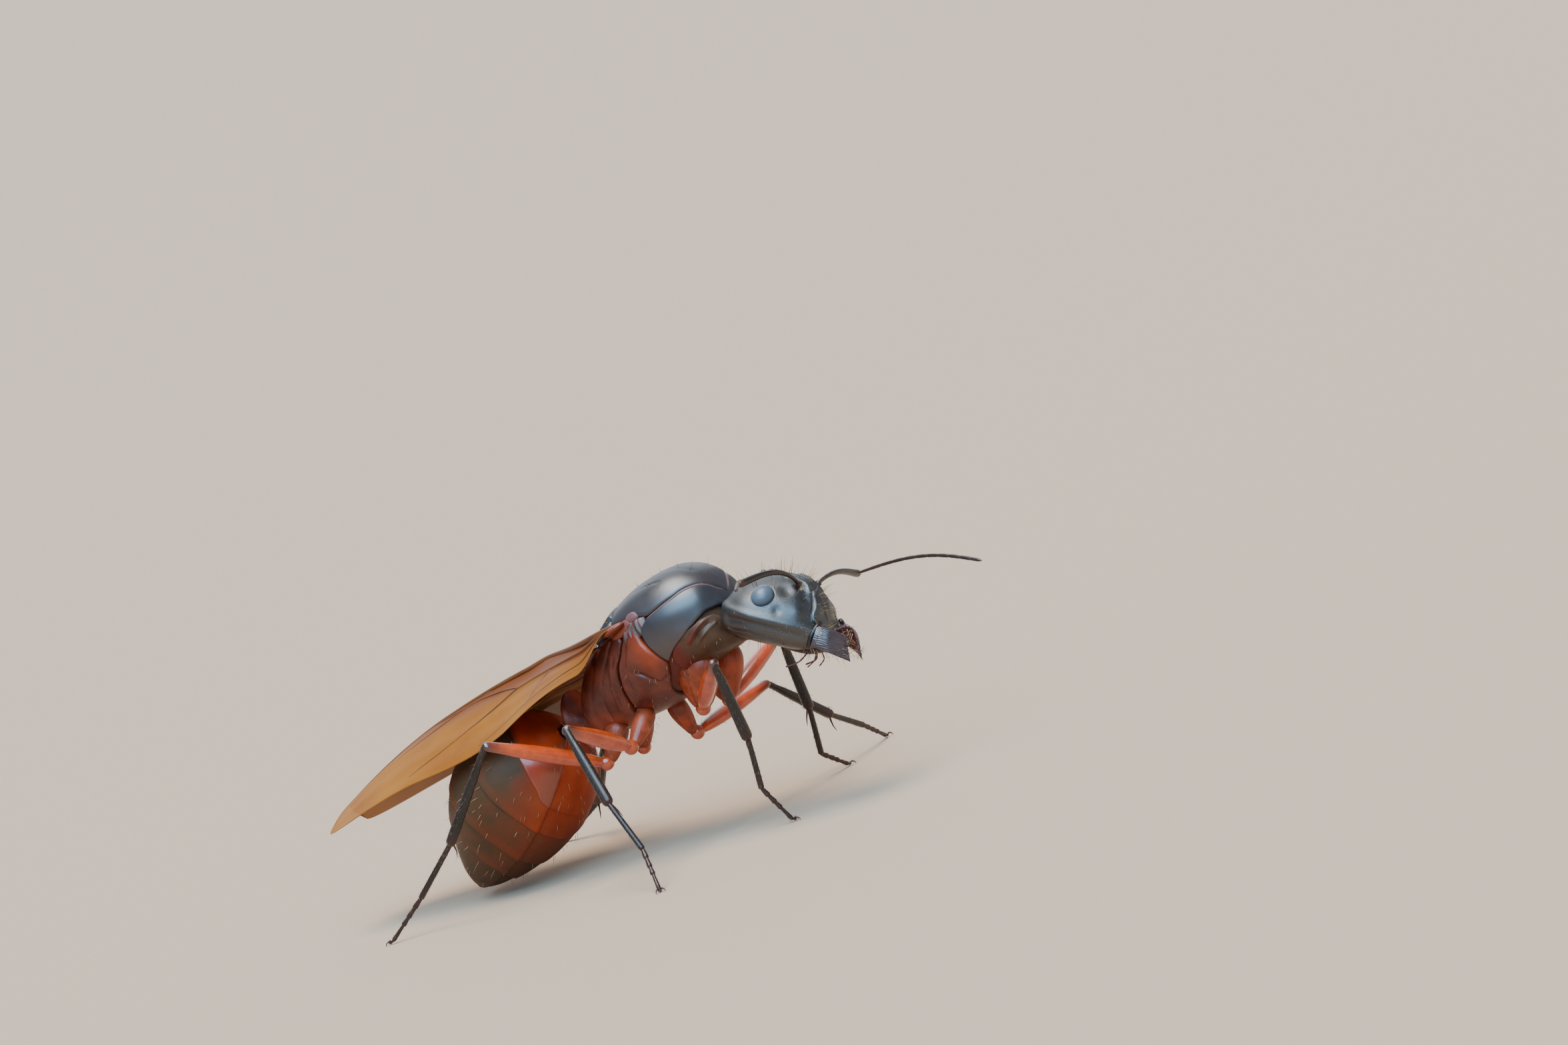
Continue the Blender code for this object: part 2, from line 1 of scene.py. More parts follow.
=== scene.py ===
"""The looks of a winged carpenter ant queen: shell plates, eyes, jaws, feelers, legs, wings, hairs.

Sizes are in millimetres in three seats, the head's, the mesosoma's and the gaster's, each with
X forward, Y to the ant's left and Z up, as in the part's source. The boxes of the two eyes say
where the head is, and the carriage angles say how the rest follows from it.
"""

import bpy
import numpy as np
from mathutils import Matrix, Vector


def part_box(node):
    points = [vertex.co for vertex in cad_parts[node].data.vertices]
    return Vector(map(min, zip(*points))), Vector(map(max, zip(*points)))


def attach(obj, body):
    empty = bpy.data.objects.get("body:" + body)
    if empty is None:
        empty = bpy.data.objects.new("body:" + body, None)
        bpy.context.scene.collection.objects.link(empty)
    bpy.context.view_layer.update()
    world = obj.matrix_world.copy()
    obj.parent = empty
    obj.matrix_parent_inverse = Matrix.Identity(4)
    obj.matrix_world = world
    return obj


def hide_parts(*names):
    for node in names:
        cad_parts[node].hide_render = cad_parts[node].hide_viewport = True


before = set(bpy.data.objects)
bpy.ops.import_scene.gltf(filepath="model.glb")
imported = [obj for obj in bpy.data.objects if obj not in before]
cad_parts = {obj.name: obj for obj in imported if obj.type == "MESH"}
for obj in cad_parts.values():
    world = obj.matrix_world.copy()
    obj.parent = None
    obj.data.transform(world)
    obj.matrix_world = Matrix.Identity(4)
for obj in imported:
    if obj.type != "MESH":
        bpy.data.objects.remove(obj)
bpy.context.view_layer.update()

MM = 0.001
PLATE_DEPTH = 0.14             # how far a plate's inner wall lies under the body's surface
SIDES = (("right", "r", -1), ("left", "l", 1))    # name, letter in the nodes' names, sign of Y

# ---- Carriage: seats and leg joints as in the part's source, coxae and feet as they look ----
BODY_PITCH, BODY_ROLL = 4.4, -4.8
HEAD_PLACE = np.array([3.69, 0.0, -0.25])
HEAD_PITCH, HEAD_ROLL = -29.0, -9.0
GASTER_PLACE = np.array([-3.7, 0.0, -0.92])
GASTER_PITCH = 36.0
EYE_LEVEL = np.array([0.1, 0.0, 0.48])         # midway between the eyes, in the head's seat

# Lengths of coxa, femur, tibia, first tarsal piece and the rest of the tarsus.
LEG_LENGTHS = {
    "fore": (1.55, 2.75, 2.3, 1.35, 1.15),
    "mid": (1.05, 2.75, 2.5, 1.5, 1.3),
    "hind": (1.05, 3.45, 3.15, 1.9, 1.45),
}
LEG_ROOTS = {"fore": (1.24, 0.71, -0.62), "mid": (-0.63, 0.89, -1.5), "hind": (-2.0, 0.7, -1.47)}
# Azimuth and elevation of each leg piece, in degrees; the last one's elevation meets the floor.
LEG_POSE = {
    "fore_r": ((-153, -64), (39, 29), (72, -104), (-157, -81), (-45,)),
    "mid_r": ((123, -41), (91, 28), (39, -53), (24, -58), (51,)),
    "hind_r": ((157, -64), (126, 29), (180, -46), (180, -38), (163,)),
    "fore_l": ((174, -66), (78, 21), (118, -75), (141, -72), (88,)),
    "mid_l": ((154, -74), (71, 8), (82, -39), (92, -28), (100,)),
    "hind_l": ((160, -62), (140, 4), (146, -38), (168, -25), (175,)),
}
COXA_SCALE = {"fore": 1.6, "mid": 0.74, "hind": 0.86}
COXA_FLAT = {"fore": 0.72, "mid": 0.95, "hind": 0.9}       # thickness across the body, in girths
COXA_TUCK = {"fore": (-0.06, -0.12, 0.32), "mid": (-0.25, -0.35, 0.12), "hind": (0.1, -0.22, 0.1)}
FOOT_HEIGHT = 0.07             # the last tarsal piece's axis at its tip, above the floor


def tilt(pitch, roll=0.0):
    """Axes of a seat turned nose up by pitch and left side down by -roll, in degrees."""
    p, r = np.radians([pitch, roll])
    nod = np.array([[np.cos(p), 0, -np.sin(p)], [0, 1, 0], [np.sin(p), 0, np.cos(p)]])
    lean = np.array([[1, 0, 0], [0, np.cos(r), -np.sin(r)], [0, np.sin(r), np.cos(r)]])
    return nod @ lean


def middle_of(node):
    """Middle of a CAD node's box, in millimetres."""
    low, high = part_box(node)
    return (np.array(low) + np.array(high)) / 2 / MM


BODY_AXES = tilt(BODY_PITCH, BODY_ROLL)
HEAD_AXES = BODY_AXES @ tilt(HEAD_PITCH, HEAD_ROLL)
head_origin = (middle_of("eye_r") + middle_of("eye_l")) / 2 - HEAD_AXES @ EYE_LEVEL
body_origin = head_origin - BODY_AXES @ HEAD_PLACE
HEAD = (head_origin, HEAD_AXES)
BODY = (body_origin, BODY_AXES)
GASTER = (body_origin + BODY_AXES @ GASTER_PLACE, BODY_AXES @ tilt(GASTER_PITCH))


def placed(points, seat):
    """Points of a seat, in the row's frame."""
    origin, axes = seat
    return origin + points @ axes.T


# ---- Forms: points, faces, and what the finishes read at each point ----
class Form:
    """Points in millimetres, faces as arrays of corner numbers, a mark and a lay at each point.

    The mark runs from 0 to 1 and mixes two tones of one finish. The lay holds a distance along
    the form and one round it, in millimetres, for patterns that follow it. The place, for hairs
    only, is the point's spot on the unwrap of the skin that they grow from.
    """

    def __init__(self, points, faces, mark, lay=0.0, place=None):
        self.points = np.asarray(points, float).reshape(-1, 3)
        self.faces = faces
        count = len(self.points)
        self.mark = np.broadcast_to(np.ravel(mark), (count,))
        self.lay = np.broadcast_to(lay, (count, 2))
        self.place = place

    def outward(self):
        """The same form with its faces turned out, told by the sign of six times its volume."""
        volume = 0.0
        for corners in self.faces:
            for k in range(1, corners.shape[1] - 1):
                a, b, c = (self.points[corners[:, n]] for n in (0, k, k + 1))
                volume += np.sum(a * np.cross(b, c))
        if volume < 0:
            self.faces = [corners[:, ::-1] for corners in self.faces]
        return self

    def moved(self, seat):
        """The same form, its points taken from a seat to the row's frame."""
        self.points = placed(self.points, seat)
        return self


def joined(forms):
    """One form out of several."""
    starts = np.cumsum([0] + [len(form.points) for form in forms])
    faces = [corners + start for form, start in zip(forms, starts) for corners in form.faces]
    points, mark, lay = (np.concatenate([getattr(form, part) for form in forms])
                         for part in ("points", "mark", "lay"))
    place = None if forms[0].place is None else np.concatenate([form.place for form in forms])
    return Form(points, faces, mark, lay, place)


def grid_quads(rows, columns, wrap):
    """Corner numbers of the quads of a grid of points, closed round its columns where wrap."""
    i = np.arange(rows - 1)[:, None]
    j = np.arange(columns if wrap else columns - 1)[None]
    k = (j + 1) % columns
    corners = np.broadcast_arrays(i * columns + j, i * columns + k,
                                  (i + 1) * columns + k, (i + 1) * columns + j)
    return np.stack(corners, -1).reshape(-1, 4)


def grid_lay(grid, wrap):
    """Millimetres along each column and round each row of a grid, from its first point."""
    along, across = (
        np.cumsum(np.linalg.norm(np.diff(grid, axis=k, prepend=np.take(grid, [0], k)), axis=2), k)
        for k in (0, 1))
    if wrap:
        along = np.broadcast_to(along.mean(1, keepdims=True), along.shape)
    return np.stack([along, across], -1)


def closed_skin(rings, mark=0.0):
    """A skin over closed rings, whose two end rings are each closed on a point at their middle."""
    rows, columns = rings.shape[:2]
    count = rows * columns
    marks = np.broadcast_to(mark, (rows, columns))[..., None]
    points, marks, lay = (
        np.concatenate([part.reshape(count, -1), part[:1].mean(1), part[-1:].mean(1)])
        for part in (rings, marks, grid_lay(rings, True)))
    j = np.arange(columns)
    k = (j + 1) % columns
    last = count - columns
    ends = [np.stack([k, j, 0 * j + count], 1), np.stack([last + j, last + k, 0 * j + count + 1], 1)]
    return Form(points, [grid_quads(rows, columns, True), *ends], marks, lay).outward()


def walled(outer, inner, mark=0.0):
    """The solid between two grids of one size, closed round its rim."""
    rows, columns = outer.shape[:2]
    count = rows * columns
    quads = grid_quads(rows, columns, False)
    numbers = np.arange(count).reshape(rows, columns)
    rim = np.concatenate([numbers[0, :-1], numbers[:-1, -1], numbers[-1, :0:-1], numbers[:0:-1, 0]])
    following = np.roll(rim, -1)
    side = np.stack([following, rim, rim + count, following + count], 1)
    marks = np.broadcast_to(mark, (rows, columns)).ravel()
    lay = grid_lay(outer, False).reshape(-1, 2)
    return Form(np.stack([outer, inner]), [quads, quads[:, ::-1] + count, side],
                np.tile(marks, 2), np.tile(lay, (2, 1))).outward()


def grid_normals(grid, wrap):
    """Unit normals of a grid of points, which point away from its middle on the whole."""
    along = np.gradient(grid, axis=0)
    across = np.roll(grid, -1, 1) - np.roll(grid, 1, 1) if wrap else np.gradient(grid, axis=1)
    normals = unit(np.cross(along, across))
    return normals * np.sign(np.sum(normals * (grid - grid.mean(axis=(0, 1)))))


def unit(vectors):
    """Vectors along the last axis, each brought to a length of 1."""
    return vectors / np.maximum(np.linalg.norm(vectors, axis=-1, keepdims=True), 1e-9)


def ramp(value):
    """0 below 0, 1 above 1, and a smooth rise between."""
    t = np.clip(value, 0, 1)
    return t * t * (3 - 2 * t)


def bell(value):
    """exp(-value^2): 1 at 0, and next to nothing beyond 2."""
    return np.exp(-np.square(value))


def along_rows(table, t):
    """Catmull-Rom values of a table's rows at the numbers t, which count rows from 0."""
    table = np.asarray(table, float)
    i = np.clip(np.floor(t).astype(int), 0, len(table) - 2)
    f = (t - i)[:, None]
    a, b = table[np.maximum(i - 1, 0)], table[i]
    c, d = table[i + 1], table[np.minimum(i + 2, len(table) - 1)]
    return b + 0.5 * f * (c - a + f * (2 * a - 5 * b + 4 * c - d + f * (3 * (b - c) + d - a)))


def smooth_path(points, count):
    """A smooth path of evenly numbered points through a few given ones."""
    return along_rows(points, np.linspace(0, len(points) - 1, count))


def around(columns):
    """A row of angles round a closed ring, in degrees."""
    return 360 * np.arange(columns)[None] / columns


def body_surface(stations, power, upper_power=None):
    """A loft along X as a function of x and an angle in degrees, 0 at the left and 90 on top.

    The stations are (x, top, waist, bottom, half width). A section is the superellipse
    |y / half width|^power + |(z - waist) / rise|^power = 1, with its own rise above and below,
    and its own power above where one is given.
    """
    dense = along_rows(stations, np.linspace(0, len(stations) - 1, 600))
    dense = dense[np.argsort(dense[:, 0])]

    def at(x, angle):
        x, angle = np.broadcast_arrays(np.asarray(x, float), np.radians(angle))
        top, waist, bottom, half_width = (np.interp(x, dense[:, 0], column) for column in dense[:, 1:].T)
        bend = 2 / np.where(np.sin(angle) > 0, upper_power or power, power)
        across = np.sign(np.cos(angle)) * np.abs(np.cos(angle)) ** bend
        up = np.sign(np.sin(angle)) * np.abs(np.sin(angle)) ** bend
        rise = np.where(up > 0, top - waist, waist - bottom)
        return np.stack([x, half_width * across, waist + rise * up], -1)

    return at


def rings_over(surface, start, end, rows, columns):
    """Closed rings of a body's surface at even steps of x from start to end."""
    return surface(np.linspace(start, end, rows)[:, None], around(columns))


def shrunk(rings, depth):
    """Closed rings drawn in by a depth along their normals."""
    return rings - grid_normals(rings, True) * depth


def distance_to(points, path):
    """Distance from each point to a path of straight pieces, or to a single point."""
    path = np.array(path, float)
    if len(path) == 1:
        return np.linalg.norm(points - path[0], axis=-1)
    best = np.inf
    for a, b in zip(path, path[1:]):
        way = b - a
        t = np.clip((points - a) @ way / (way @ way), 0, 1)
        best = np.minimum(best, np.linalg.norm(points - a - t[..., None] * way, axis=-1))
    return best


def relief(points, strokes):
    """Sum of strokes (path, height, width), each height * exp(-(distance / width)^2).

    The paths are given for the right side, and the left side gets the same by symmetry.
    """
    folded = np.stack([points[..., 0], -np.abs(points[..., 1]), points[..., 2]], -1)
    total = 0.0
    for path, height, width in strokes:
        fine = smooth_path(path, 6 * len(path)) if len(path) > 1 else path
        total = total + height * bell(distance_to(folded, fine) / width)
    return total


def rolled_edge(grid, radius, wrap):
    """0 at a grid's edges and 1 further in than the radius, along a quarter circle."""
    lay = grid_lay(grid, False)
    inward = np.minimum(lay[..., 0], lay[-1:, :, 0] - lay[..., 0])
    if not wrap:
        inward = np.minimum(inward, np.minimum(lay[..., 1], lay[:, -1:, 1] - lay[..., 1]))
    return np.sqrt(1 - (1 - np.clip(inward / radius, 0, 1)) ** 2)


def plate(base, rise, strokes, radius, dip=0.05):
    """A shell plate over a grid of a body's surface.

    Its face stands proud by rise, rolls down to dip below the surface at its edges, and carries
    the strokes of relief. Its inner wall lies PLATE_DEPTH under the surface.
    """
    normals = grid_normals(base, False)
    height = (rise + dip) * rolled_edge(base, radius, False) - dip + relief(base, strokes)
    return walled(base + normals * height[..., None], base - normals * PLATE_DEPTH)


def tube(path, radii, sides, flatten=1.0, up=(0, 0, 1), mark=0.0):
    """A profile carried along a path: rings of the given radii, square to it, closed at its ends.

    Flatten scales each ring across the way of the up direction.
    """
    ways = unit(np.gradient(path, axis=0))
    aside = unit(np.cross(ways, up))
    over = np.cross(aside, ways)
    angles = np.radians(around(sides))[..., None]
    spokes = np.cos(angles) * aside[:, None] * flatten + np.sin(angles) * over[:, None]
    rings = path[:, None] + spokes * np.broadcast_to(radii, len(path))[:, None, None]
    return closed_skin(rings, np.reshape(mark, (-1, 1)))


def finer_at_ends(count):
    """Numbers from 0 to 1 that crowd towards both ends."""
    return (1 - np.cos(np.pi * np.linspace(0, 1, count))) / 2


def limb(start, end, profile, rows, sides, flatten=1.0, up=(0, 0, 1), mark=(0.0,)):
    """A limb piece from start to end, with a profile of radii from end to end and round tips.

    Within one radius of a tip the profile is a quarter circle.
    """
    t = finer_at_ends(rows)
    radii = along_rows(np.array(profile)[:, None], t * (len(profile) - 1))[:, 0]
    reach = np.minimum(t, 1 - t) * np.linalg.norm(end - start)
    rounding = np.sqrt(1 - (1 - np.clip(reach / radii, 0.002, 1)) ** 2)
    marks = np.interp(t, np.linspace(0, 1, len(mark)), mark)
    return tube(start + (end - start) * t[:, None], radii * rounding, sides, flatten, up, marks)


def ellipsoid(centre, semi_axes, rows=24, columns=32, mark=0.0, turn=np.eye(3)):
    """Latitude rings of an ellipsoid, turned by a matrix."""
    up = np.radians(np.linspace(-89, 89, rows))[:, None]
    round_it = np.radians(around(columns))
    ball = np.stack([np.cos(up) * np.cos(round_it), np.cos(up) * np.sin(round_it),
                     np.sin(up) + 0 * round_it], -1)
    return closed_skin(ball * semi_axes @ turn.T + centre, mark)


def mirrored(points, side):
    """Points written for the left side (+1), or their mirror image for the right (-1)."""
    return np.multiply(points, (1.0, side, 1.0))


def stand(name, data):
    """A new object of the data in the scene."""
    item = bpy.data.objects.new(name, data)
    bpy.context.scene.collection.objects.link(item)
    return item


def add_piece(name, forms, seat, material, slot=None, *nodes):
    """A mesh object of one or more forms in a seat, which rides on the body and stands for nodes.

    Without a seat the forms are in the row's frame already.
    """
    form = joined(forms if isinstance(forms, list) else [forms])
    if seat:
        form.moved(seat)
    mesh = bpy.data.meshes.new(name)
    faces = [row for corners in form.faces for row in corners.tolist()]
    mesh.from_pydata((form.points * MM).tolist(), [], faces)
    mesh.attributes.new("mark", "FLOAT", "POINT").data.foreach_set("value", form.mark)
    lay = np.concatenate([form.lay, np.zeros((len(form.lay), 1))], 1)
    mesh.attributes.new("lay", "FLOAT_VECTOR", "POINT").data.foreach_set("vector", lay.ravel())
    mesh.polygons.foreach_set("use_smooth", np.ones(len(mesh.polygons), bool))
    mesh.materials.append(material)
    mesh.update()
    if form.place is not None:
        corners = np.empty(len(mesh.loops), int)
        mesh.loops.foreach_get("vertex_index", corners)
        mesh.uv_layers.new(name="OFBake").data.foreach_set("uv", form.place[corners].ravel())
    piece = stand(name, mesh)
    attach(piece, "root")
    if nodes:
        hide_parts(*nodes)


# ---- Finishes ----
def new_group(name, inputs, outputs):
    """An empty shader node group, the sockets that it reads and the sockets that it fills."""
    group = bpy.data.node_groups.new(name, "ShaderNodeTree")
    for way, sockets in (("INPUT", inputs), ("OUTPUT", outputs)):
        for label, kind in sockets.items():
            group.interface.new_socket(label, in_out=way, socket_type="NodeSocket" + kind)
    return group, group.nodes.new("NodeGroupInput").outputs, group.nodes.new("NodeGroupOutput").inputs


def feed(tree, socket, value):
    """Give a socket another socket, a number, or three numbers."""
    if isinstance(value, bpy.types.NodeSocket):
        tree.links.new(value, socket)
    else:
        socket.default_value = (*value, 1.0) if socket.type == "RGBA" else value


def new_node(tree, kind, settings=None, **values):
    """A shader node with its settings made and its sockets fed; underscores stand for spaces."""
    node = tree.nodes.new("ShaderNode" + kind)
    for setting, value in (settings or {}).items():
        setattr(node, setting, value)
    for label, value in values.items():
        feed(tree, node.inputs[label.replace("_", " ")], value)
    return node


def maths(tree, operation, *values, clamp=False):
    """The output of a Math node on sockets or numbers."""
    node = new_node(tree, "Math", {"operation": operation, "use_clamp": clamp})
    for socket, value in zip(node.inputs, values):
        feed(tree, socket, value)
    return node.outputs[0]


def blended(tree, factor, first, second):
    """A mix of two colours."""
    node = new_node(tree, "Mix", {"data_type": "RGBA"}, Factor=factor)
    feed(tree, node.inputs[6], first)
    feed(tree, node.inputs[7], second)
    return node.outputs[2]


def make_sculpture_group():
    """Height of a shell's fine sculpture: grain, and round pits that fade out with their depth."""
    group, into, out = new_group("shell_sculpture", {
        "Where": "Vector", "Grain Scale": "Float", "Grain Depth": "Float", "Pit Scale": "Float",
        "Pit Depth": "Float"}, {"Height": "Float"})
    grain = new_node(group, "TexNoise", Detail=2.0, Vector=into["Where"], Scale=into["Grain Scale"])
    cells = new_node(group, "TexVoronoi", Vector=into["Where"], Scale=into["Pit Scale"])
    pit = maths(group, "MULTIPLY", cells.outputs["Distance"], 4.0, clamp=True)
    height = maths(group, "ADD", maths(group, "MULTIPLY", grain.outputs["Fac"], into["Grain Depth"]),
                   maths(group, "MULTIPLY", pit, into["Pit Depth"]))
    feed(group, out["Height"], height)
    return group


def make_tone_group():
    """Colour of a shell: two tones in soft patches, and a third where the mark is high."""
    group, into, out = new_group("shell_tone", {
        "Where": "Vector", "Patch Scale": "Float", "Deep": "Color", "Pale": "Color",
        "Marked": "Color", "Mark": "Float"}, {"Colour": "Color", "Patch": "Float"})
    patch = new_node(group, "TexNoise", Detail=4.0, Vector=into["Where"], Scale=into["Patch Scale"])
    contrast = maths(group, "MULTIPLY_ADD", patch.outputs["Fac"], 2.4, -0.7, clamp=True)
    base = blended(group, contrast, into["Deep"], into["Pale"])
    uneven = maths(group, "MULTIPLY_ADD", contrast, 0.3, 0.85)
    mark = maths(group, "MULTIPLY", into["Mark"], uneven, clamp=True)
    feed(group, out["Colour"], blended(group, mark, base, into["Marked"]))
    feed(group, out["Patch"], contrast)
    return group


SCULPTURE = make_sculpture_group()
TONE = make_tone_group()
COAT_ROUGHNESS = 0.12
GLOW_REACH = 0.25              # how far light goes under a glowing surface, in millimetres
GLOW_SHARES = (1.0, 0.25, 0.1)         # of that reach, for red, green and blue


def attribute(tree, name, output):
    """An attribute of the piece's own mesh."""
    return new_node(tree, "Attribute", {"attribute_name": name}).outputs[output]


def principled(name, **values):
    """A new material, its node tree and its Principled shader, with the values fed to it."""
    material = bpy.data.materials.new(name)
    material.use_nodes = True
    shader = material.node_tree.nodes["Principled BSDF"]
    for label, value in values.items():
        feed(material.node_tree, shader.inputs[label.replace("_", " ")], value)
    return material, material.node_tree, shader


def shell_finish(name, deep, pale, marked, roughness, spread, grain, pits, relief_depth,
                 patch=1500.0, coat=0.0, glow=0.0, stretch=None, shine=0.5):
    """A Principled finish for shell: toned colour, roughness that varies by spread, fine relief.

    Grain and pits are (features per metre, share of the relief's depth), the depth is in
    millimetres, glow is the share of light that goes under the surface, and stretch, where
    given, lays the grain along the form, longer by that factor. Shine is the specular level.
    """
    material, tree, shader = principled(
        name, Coat_Weight=coat, Coat_Roughness=COAT_ROUGHNESS, Specular_IOR_Level=shine,
        Subsurface_Weight=glow, Subsurface_Radius=GLOW_SHARES, Subsurface_Scale=GLOW_REACH * MM)
    where = new_node(tree, "TexCoord").outputs["Object"]
    tone = new_node(tree, "Group", {"node_tree": TONE}, Where=where, Patch_Scale=patch, Deep=deep,
                    Pale=pale, Marked=marked, Mark=attribute(tree, "mark", "Fac")).outputs
    if stretch:
        course = new_node(tree, "VectorMath", {"operation": "MULTIPLY"})
        feed(tree, course.inputs[0], attribute(tree, "lay", "Vector"))
        feed(tree, course.inputs[1], (MM / stretch, MM, MM))
        where = course.outputs[0]
    sculpture = new_node(tree, "Group", {"node_tree": SCULPTURE}, Where=where, Grain_Scale=grain[0],
                         Grain_Depth=grain[1], Pit_Scale=pits[0], Pit_Depth=pits[1])
    bump = new_node(tree, "Bump", Strength=1.0, Distance=relief_depth * MM,
                    Height=sculpture.outputs["Height"])
    feed(tree, shader.inputs["Base Color"], tone["Colour"])
    feed(tree, shader.inputs["Roughness"],
         maths(tree, "MULTIPLY_ADD", tone["Patch"], spread, roughness - spread / 2))
    feed(tree, shader.inputs["Normal"], bump.outputs["Normal"])
    return material


# Its marked brown is a painted warm floor reflection on the lower cheeks, and also tints the sides by the
# jaws.
HEAD_BLACK = shell_finish(
    "head_black_satin", (0.004, 0.005, 0.006), (0.012, 0.015, 0.018), (0.024, 0.013, 0.008), 0.34, 0.12,
    (70000, 0.55), (15000, 0.45), 0.011, shine=1.0)
BACK_BLACK = shell_finish(
    "back_black_gloss", (0.007, 0.009, 0.012), (0.018, 0.013, 0.018), (0.045, 0.02, 0.015), 0.4, 0.08,
    (50000, 0.4), (12000, 0.1), 0.003, shine=0.95)
COLLAR_BROWN = shell_finish(
    "collar_brown", (0.042, 0.018, 0.008), (0.092, 0.042, 0.020), (0.11, 0.012, 0.007), 0.42, 0.1,
    (40000, 0.7), (12000, 0.3), 0.007, patch=2200.0, shine=0.3)
FLANK_RED = shell_finish(
    "flank_red_brown", (0.05, 0.007, 0.004), (0.15, 0.023, 0.009), (0.36, 0.045, 0.008), 0.38, 0.1,
    (30000, 0.8), (9000, 0.3), 0.008, patch=2200.0, glow=0.05, shine=0.45)
LEG_ORANGE = shell_finish(
    "leg_orange_red", (0.34, 0.028, 0.003), (0.60, 0.075, 0.007), (0.022, 0.008, 0.006), 0.3, 0.06,
    (30000, 0.5), (10000, 0.1), 0.003, patch=2500.0, coat=0.6, glow=0.08, stretch=4.0, shine=0.7)
COXA_ORANGE = shell_finish(
    "coxa_orange_brown", (0.15, 0.018, 0.004), (0.42, 0.055, 0.009), (0.05, 0.012, 0.007), 0.42, 0.1,
    (14000, 1.0), (10000, 0.2), 0.012, patch=3500.0, glow=0.06, stretch=6.0, shine=0.45)
LEG_DARK = shell_finish(
    "leg_black_brown", (0.007, 0.005, 0.004), (0.018, 0.010, 0.008), (0.06, 0.012, 0.007), 0.32, 0.08,
    (60000, 0.6), (18000, 0.4), 0.006, stretch=3.0, shine=0.45)
# Its marked dark brown is the rear edge's own colour, and painted shade on the lower sides.
GASTER_RED = shell_finish(
    "gaster_orange_red", (0.36, 0.022, 0.002), (0.58, 0.055, 0.005), (0.05, 0.028, 0.016), 0.34, 0.06,
    (40000, 0.4), (10000, 0.1), 0.003, coat=0.2, glow=0.08, shine=0.6)
GASTER_BLEND = shell_finish(
    "gaster_olive_brown", (0.28, 0.024, 0.005), (0.42, 0.052, 0.010), (0.070, 0.034, 0.016), 0.5, 0.1,
    (40000, 0.5), (10000, 0.3), 0.005, patch=1800.0, shine=0.14)
JAW_FINISH = shell_finish(
    "jaw_purple_brown", (0.016, 0.008, 0.011), (0.045, 0.028, 0.038), (0.055, 0.006, 0.004), 0.3, 0.1,
    (26000, 1.0), (15000, 0.35), 0.02, stretch=5.0, shine=0.9)
EYE_FINISH = shell_finish(
    "eye_grey_blue", (0.05, 0.068, 0.092), (0.075, 0.10, 0.135), (0.02, 0.024, 0.03), 0.36, 0.04,
    (90000, 0.1), (38000, 0.9), 0.004)
JOINT_RED = shell_finish(
    "joint_dark_red", (0.024, 0.005, 0.004), (0.06, 0.010, 0.007), (0.17, 0.04, 0.02), 0.38, 0.1,
    (40000, 0.5), (9000, 0.2), 0.008, shine=0.4)
SCLERITE_PALE = shell_finish(
    "wing_hinge_pale", (0.10, 0.035, 0.036), (0.16, 0.07, 0.075), (0.17, 0.026, 0.007), 0.4, 0.1,
    (30000, 0.8), (9000, 0.3), 0.012, glow=0.1)
# Pale pink: along the collar's rear rim it is a painted highlight, and on the folds under the wing hinges
# it is their own colour.
RIM_HIGHLIGHT_AND_FOLD_PINK = shell_finish(
    "rim_highlight_and_fold_pink", (0.10, 0.045, 0.042), (0.16, 0.08, 0.078), (0.05, 0.028, 0.019), 0.42, 0.1,
    (30000, 0.8), (9000, 0.2), 0.010)
HAIR_GOLD = shell_finish(
    "hair_gold", (0.24, 0.13, 0.055), (0.42, 0.28, 0.14), (0.08, 0.05, 0.035), 0.4, 0.1, (40000, 0.2),
    (9000, 0.0), 0.001)
VEIN_RUST = shell_finish(
    "wing_vein_rust", (0.06, 0.014, 0.005), (0.12, 0.03, 0.008), (0.24, 0.09, 0.02), 0.42, 0.1,
    (40000, 0.4), (9000, 0.1), 0.003, shine=0.3)


def wing_finish():
    """Clear amber membrane: see-through, rusty near the mark and yellower away, finely wrinkled."""
    material = shell_finish(
        "wing_amber", (0.26, 0.075, 0.007), (0.36, 0.13, 0.014), (0.13, 0.028, 0.004), 0.5, 0.1,
        (6000, 0.8), (9000, 0.1), 0.012, patch=600, shine=0.15)
    tree = material.node_tree
    clear = maths(tree, "MULTIPLY_ADD", attribute(tree, "mark", "Fac"), 0.22, 0.78, clamp=True)
    feed(tree, tree.nodes["Principled BSDF"].inputs["Alpha"], clear)
    return material


WING_AMBER = wing_finish()


# ---- Head ----
HEAD_STATIONS = (
    (-1.3, -0.2, -0.38, -0.6, 0.5),
    (-1.15, 0.33, -0.24, -0.74, 0.98),
    (-0.84, 0.74, -0.14, -0.84, 1.28),
    (-0.2, 0.98, -0.1, -0.87, 1.45),
    (0.4, 1.0, -0.12, -0.86, 1.38),
    (0.86, 0.84, -0.2, -0.85, 1.19),
    (1.18, 0.46, -0.27, -0.79, 0.97),
    (1.44, 0.06, -0.32, -0.67, 0.76),
    (1.56, -0.14, -0.36, -0.57, 0.54),
)
EYE_PLACE = np.array([0.1, 1.15, 0.48])
EYE_SEMI_AXES = np.array([0.295, 0.21, 0.315])
EYE_BED, EYE_GROOVE = 0.1, 0.015       # depths of the skin under a dome and at its rim
EYE_TILT = 45.0                # of the eyes' domes about the head's length
ANTENNA_SOCKET = np.array([0.74, 0.41, 0.79])
head_surface = body_surface(HEAD_STATIONS, 2.2, 1.75)

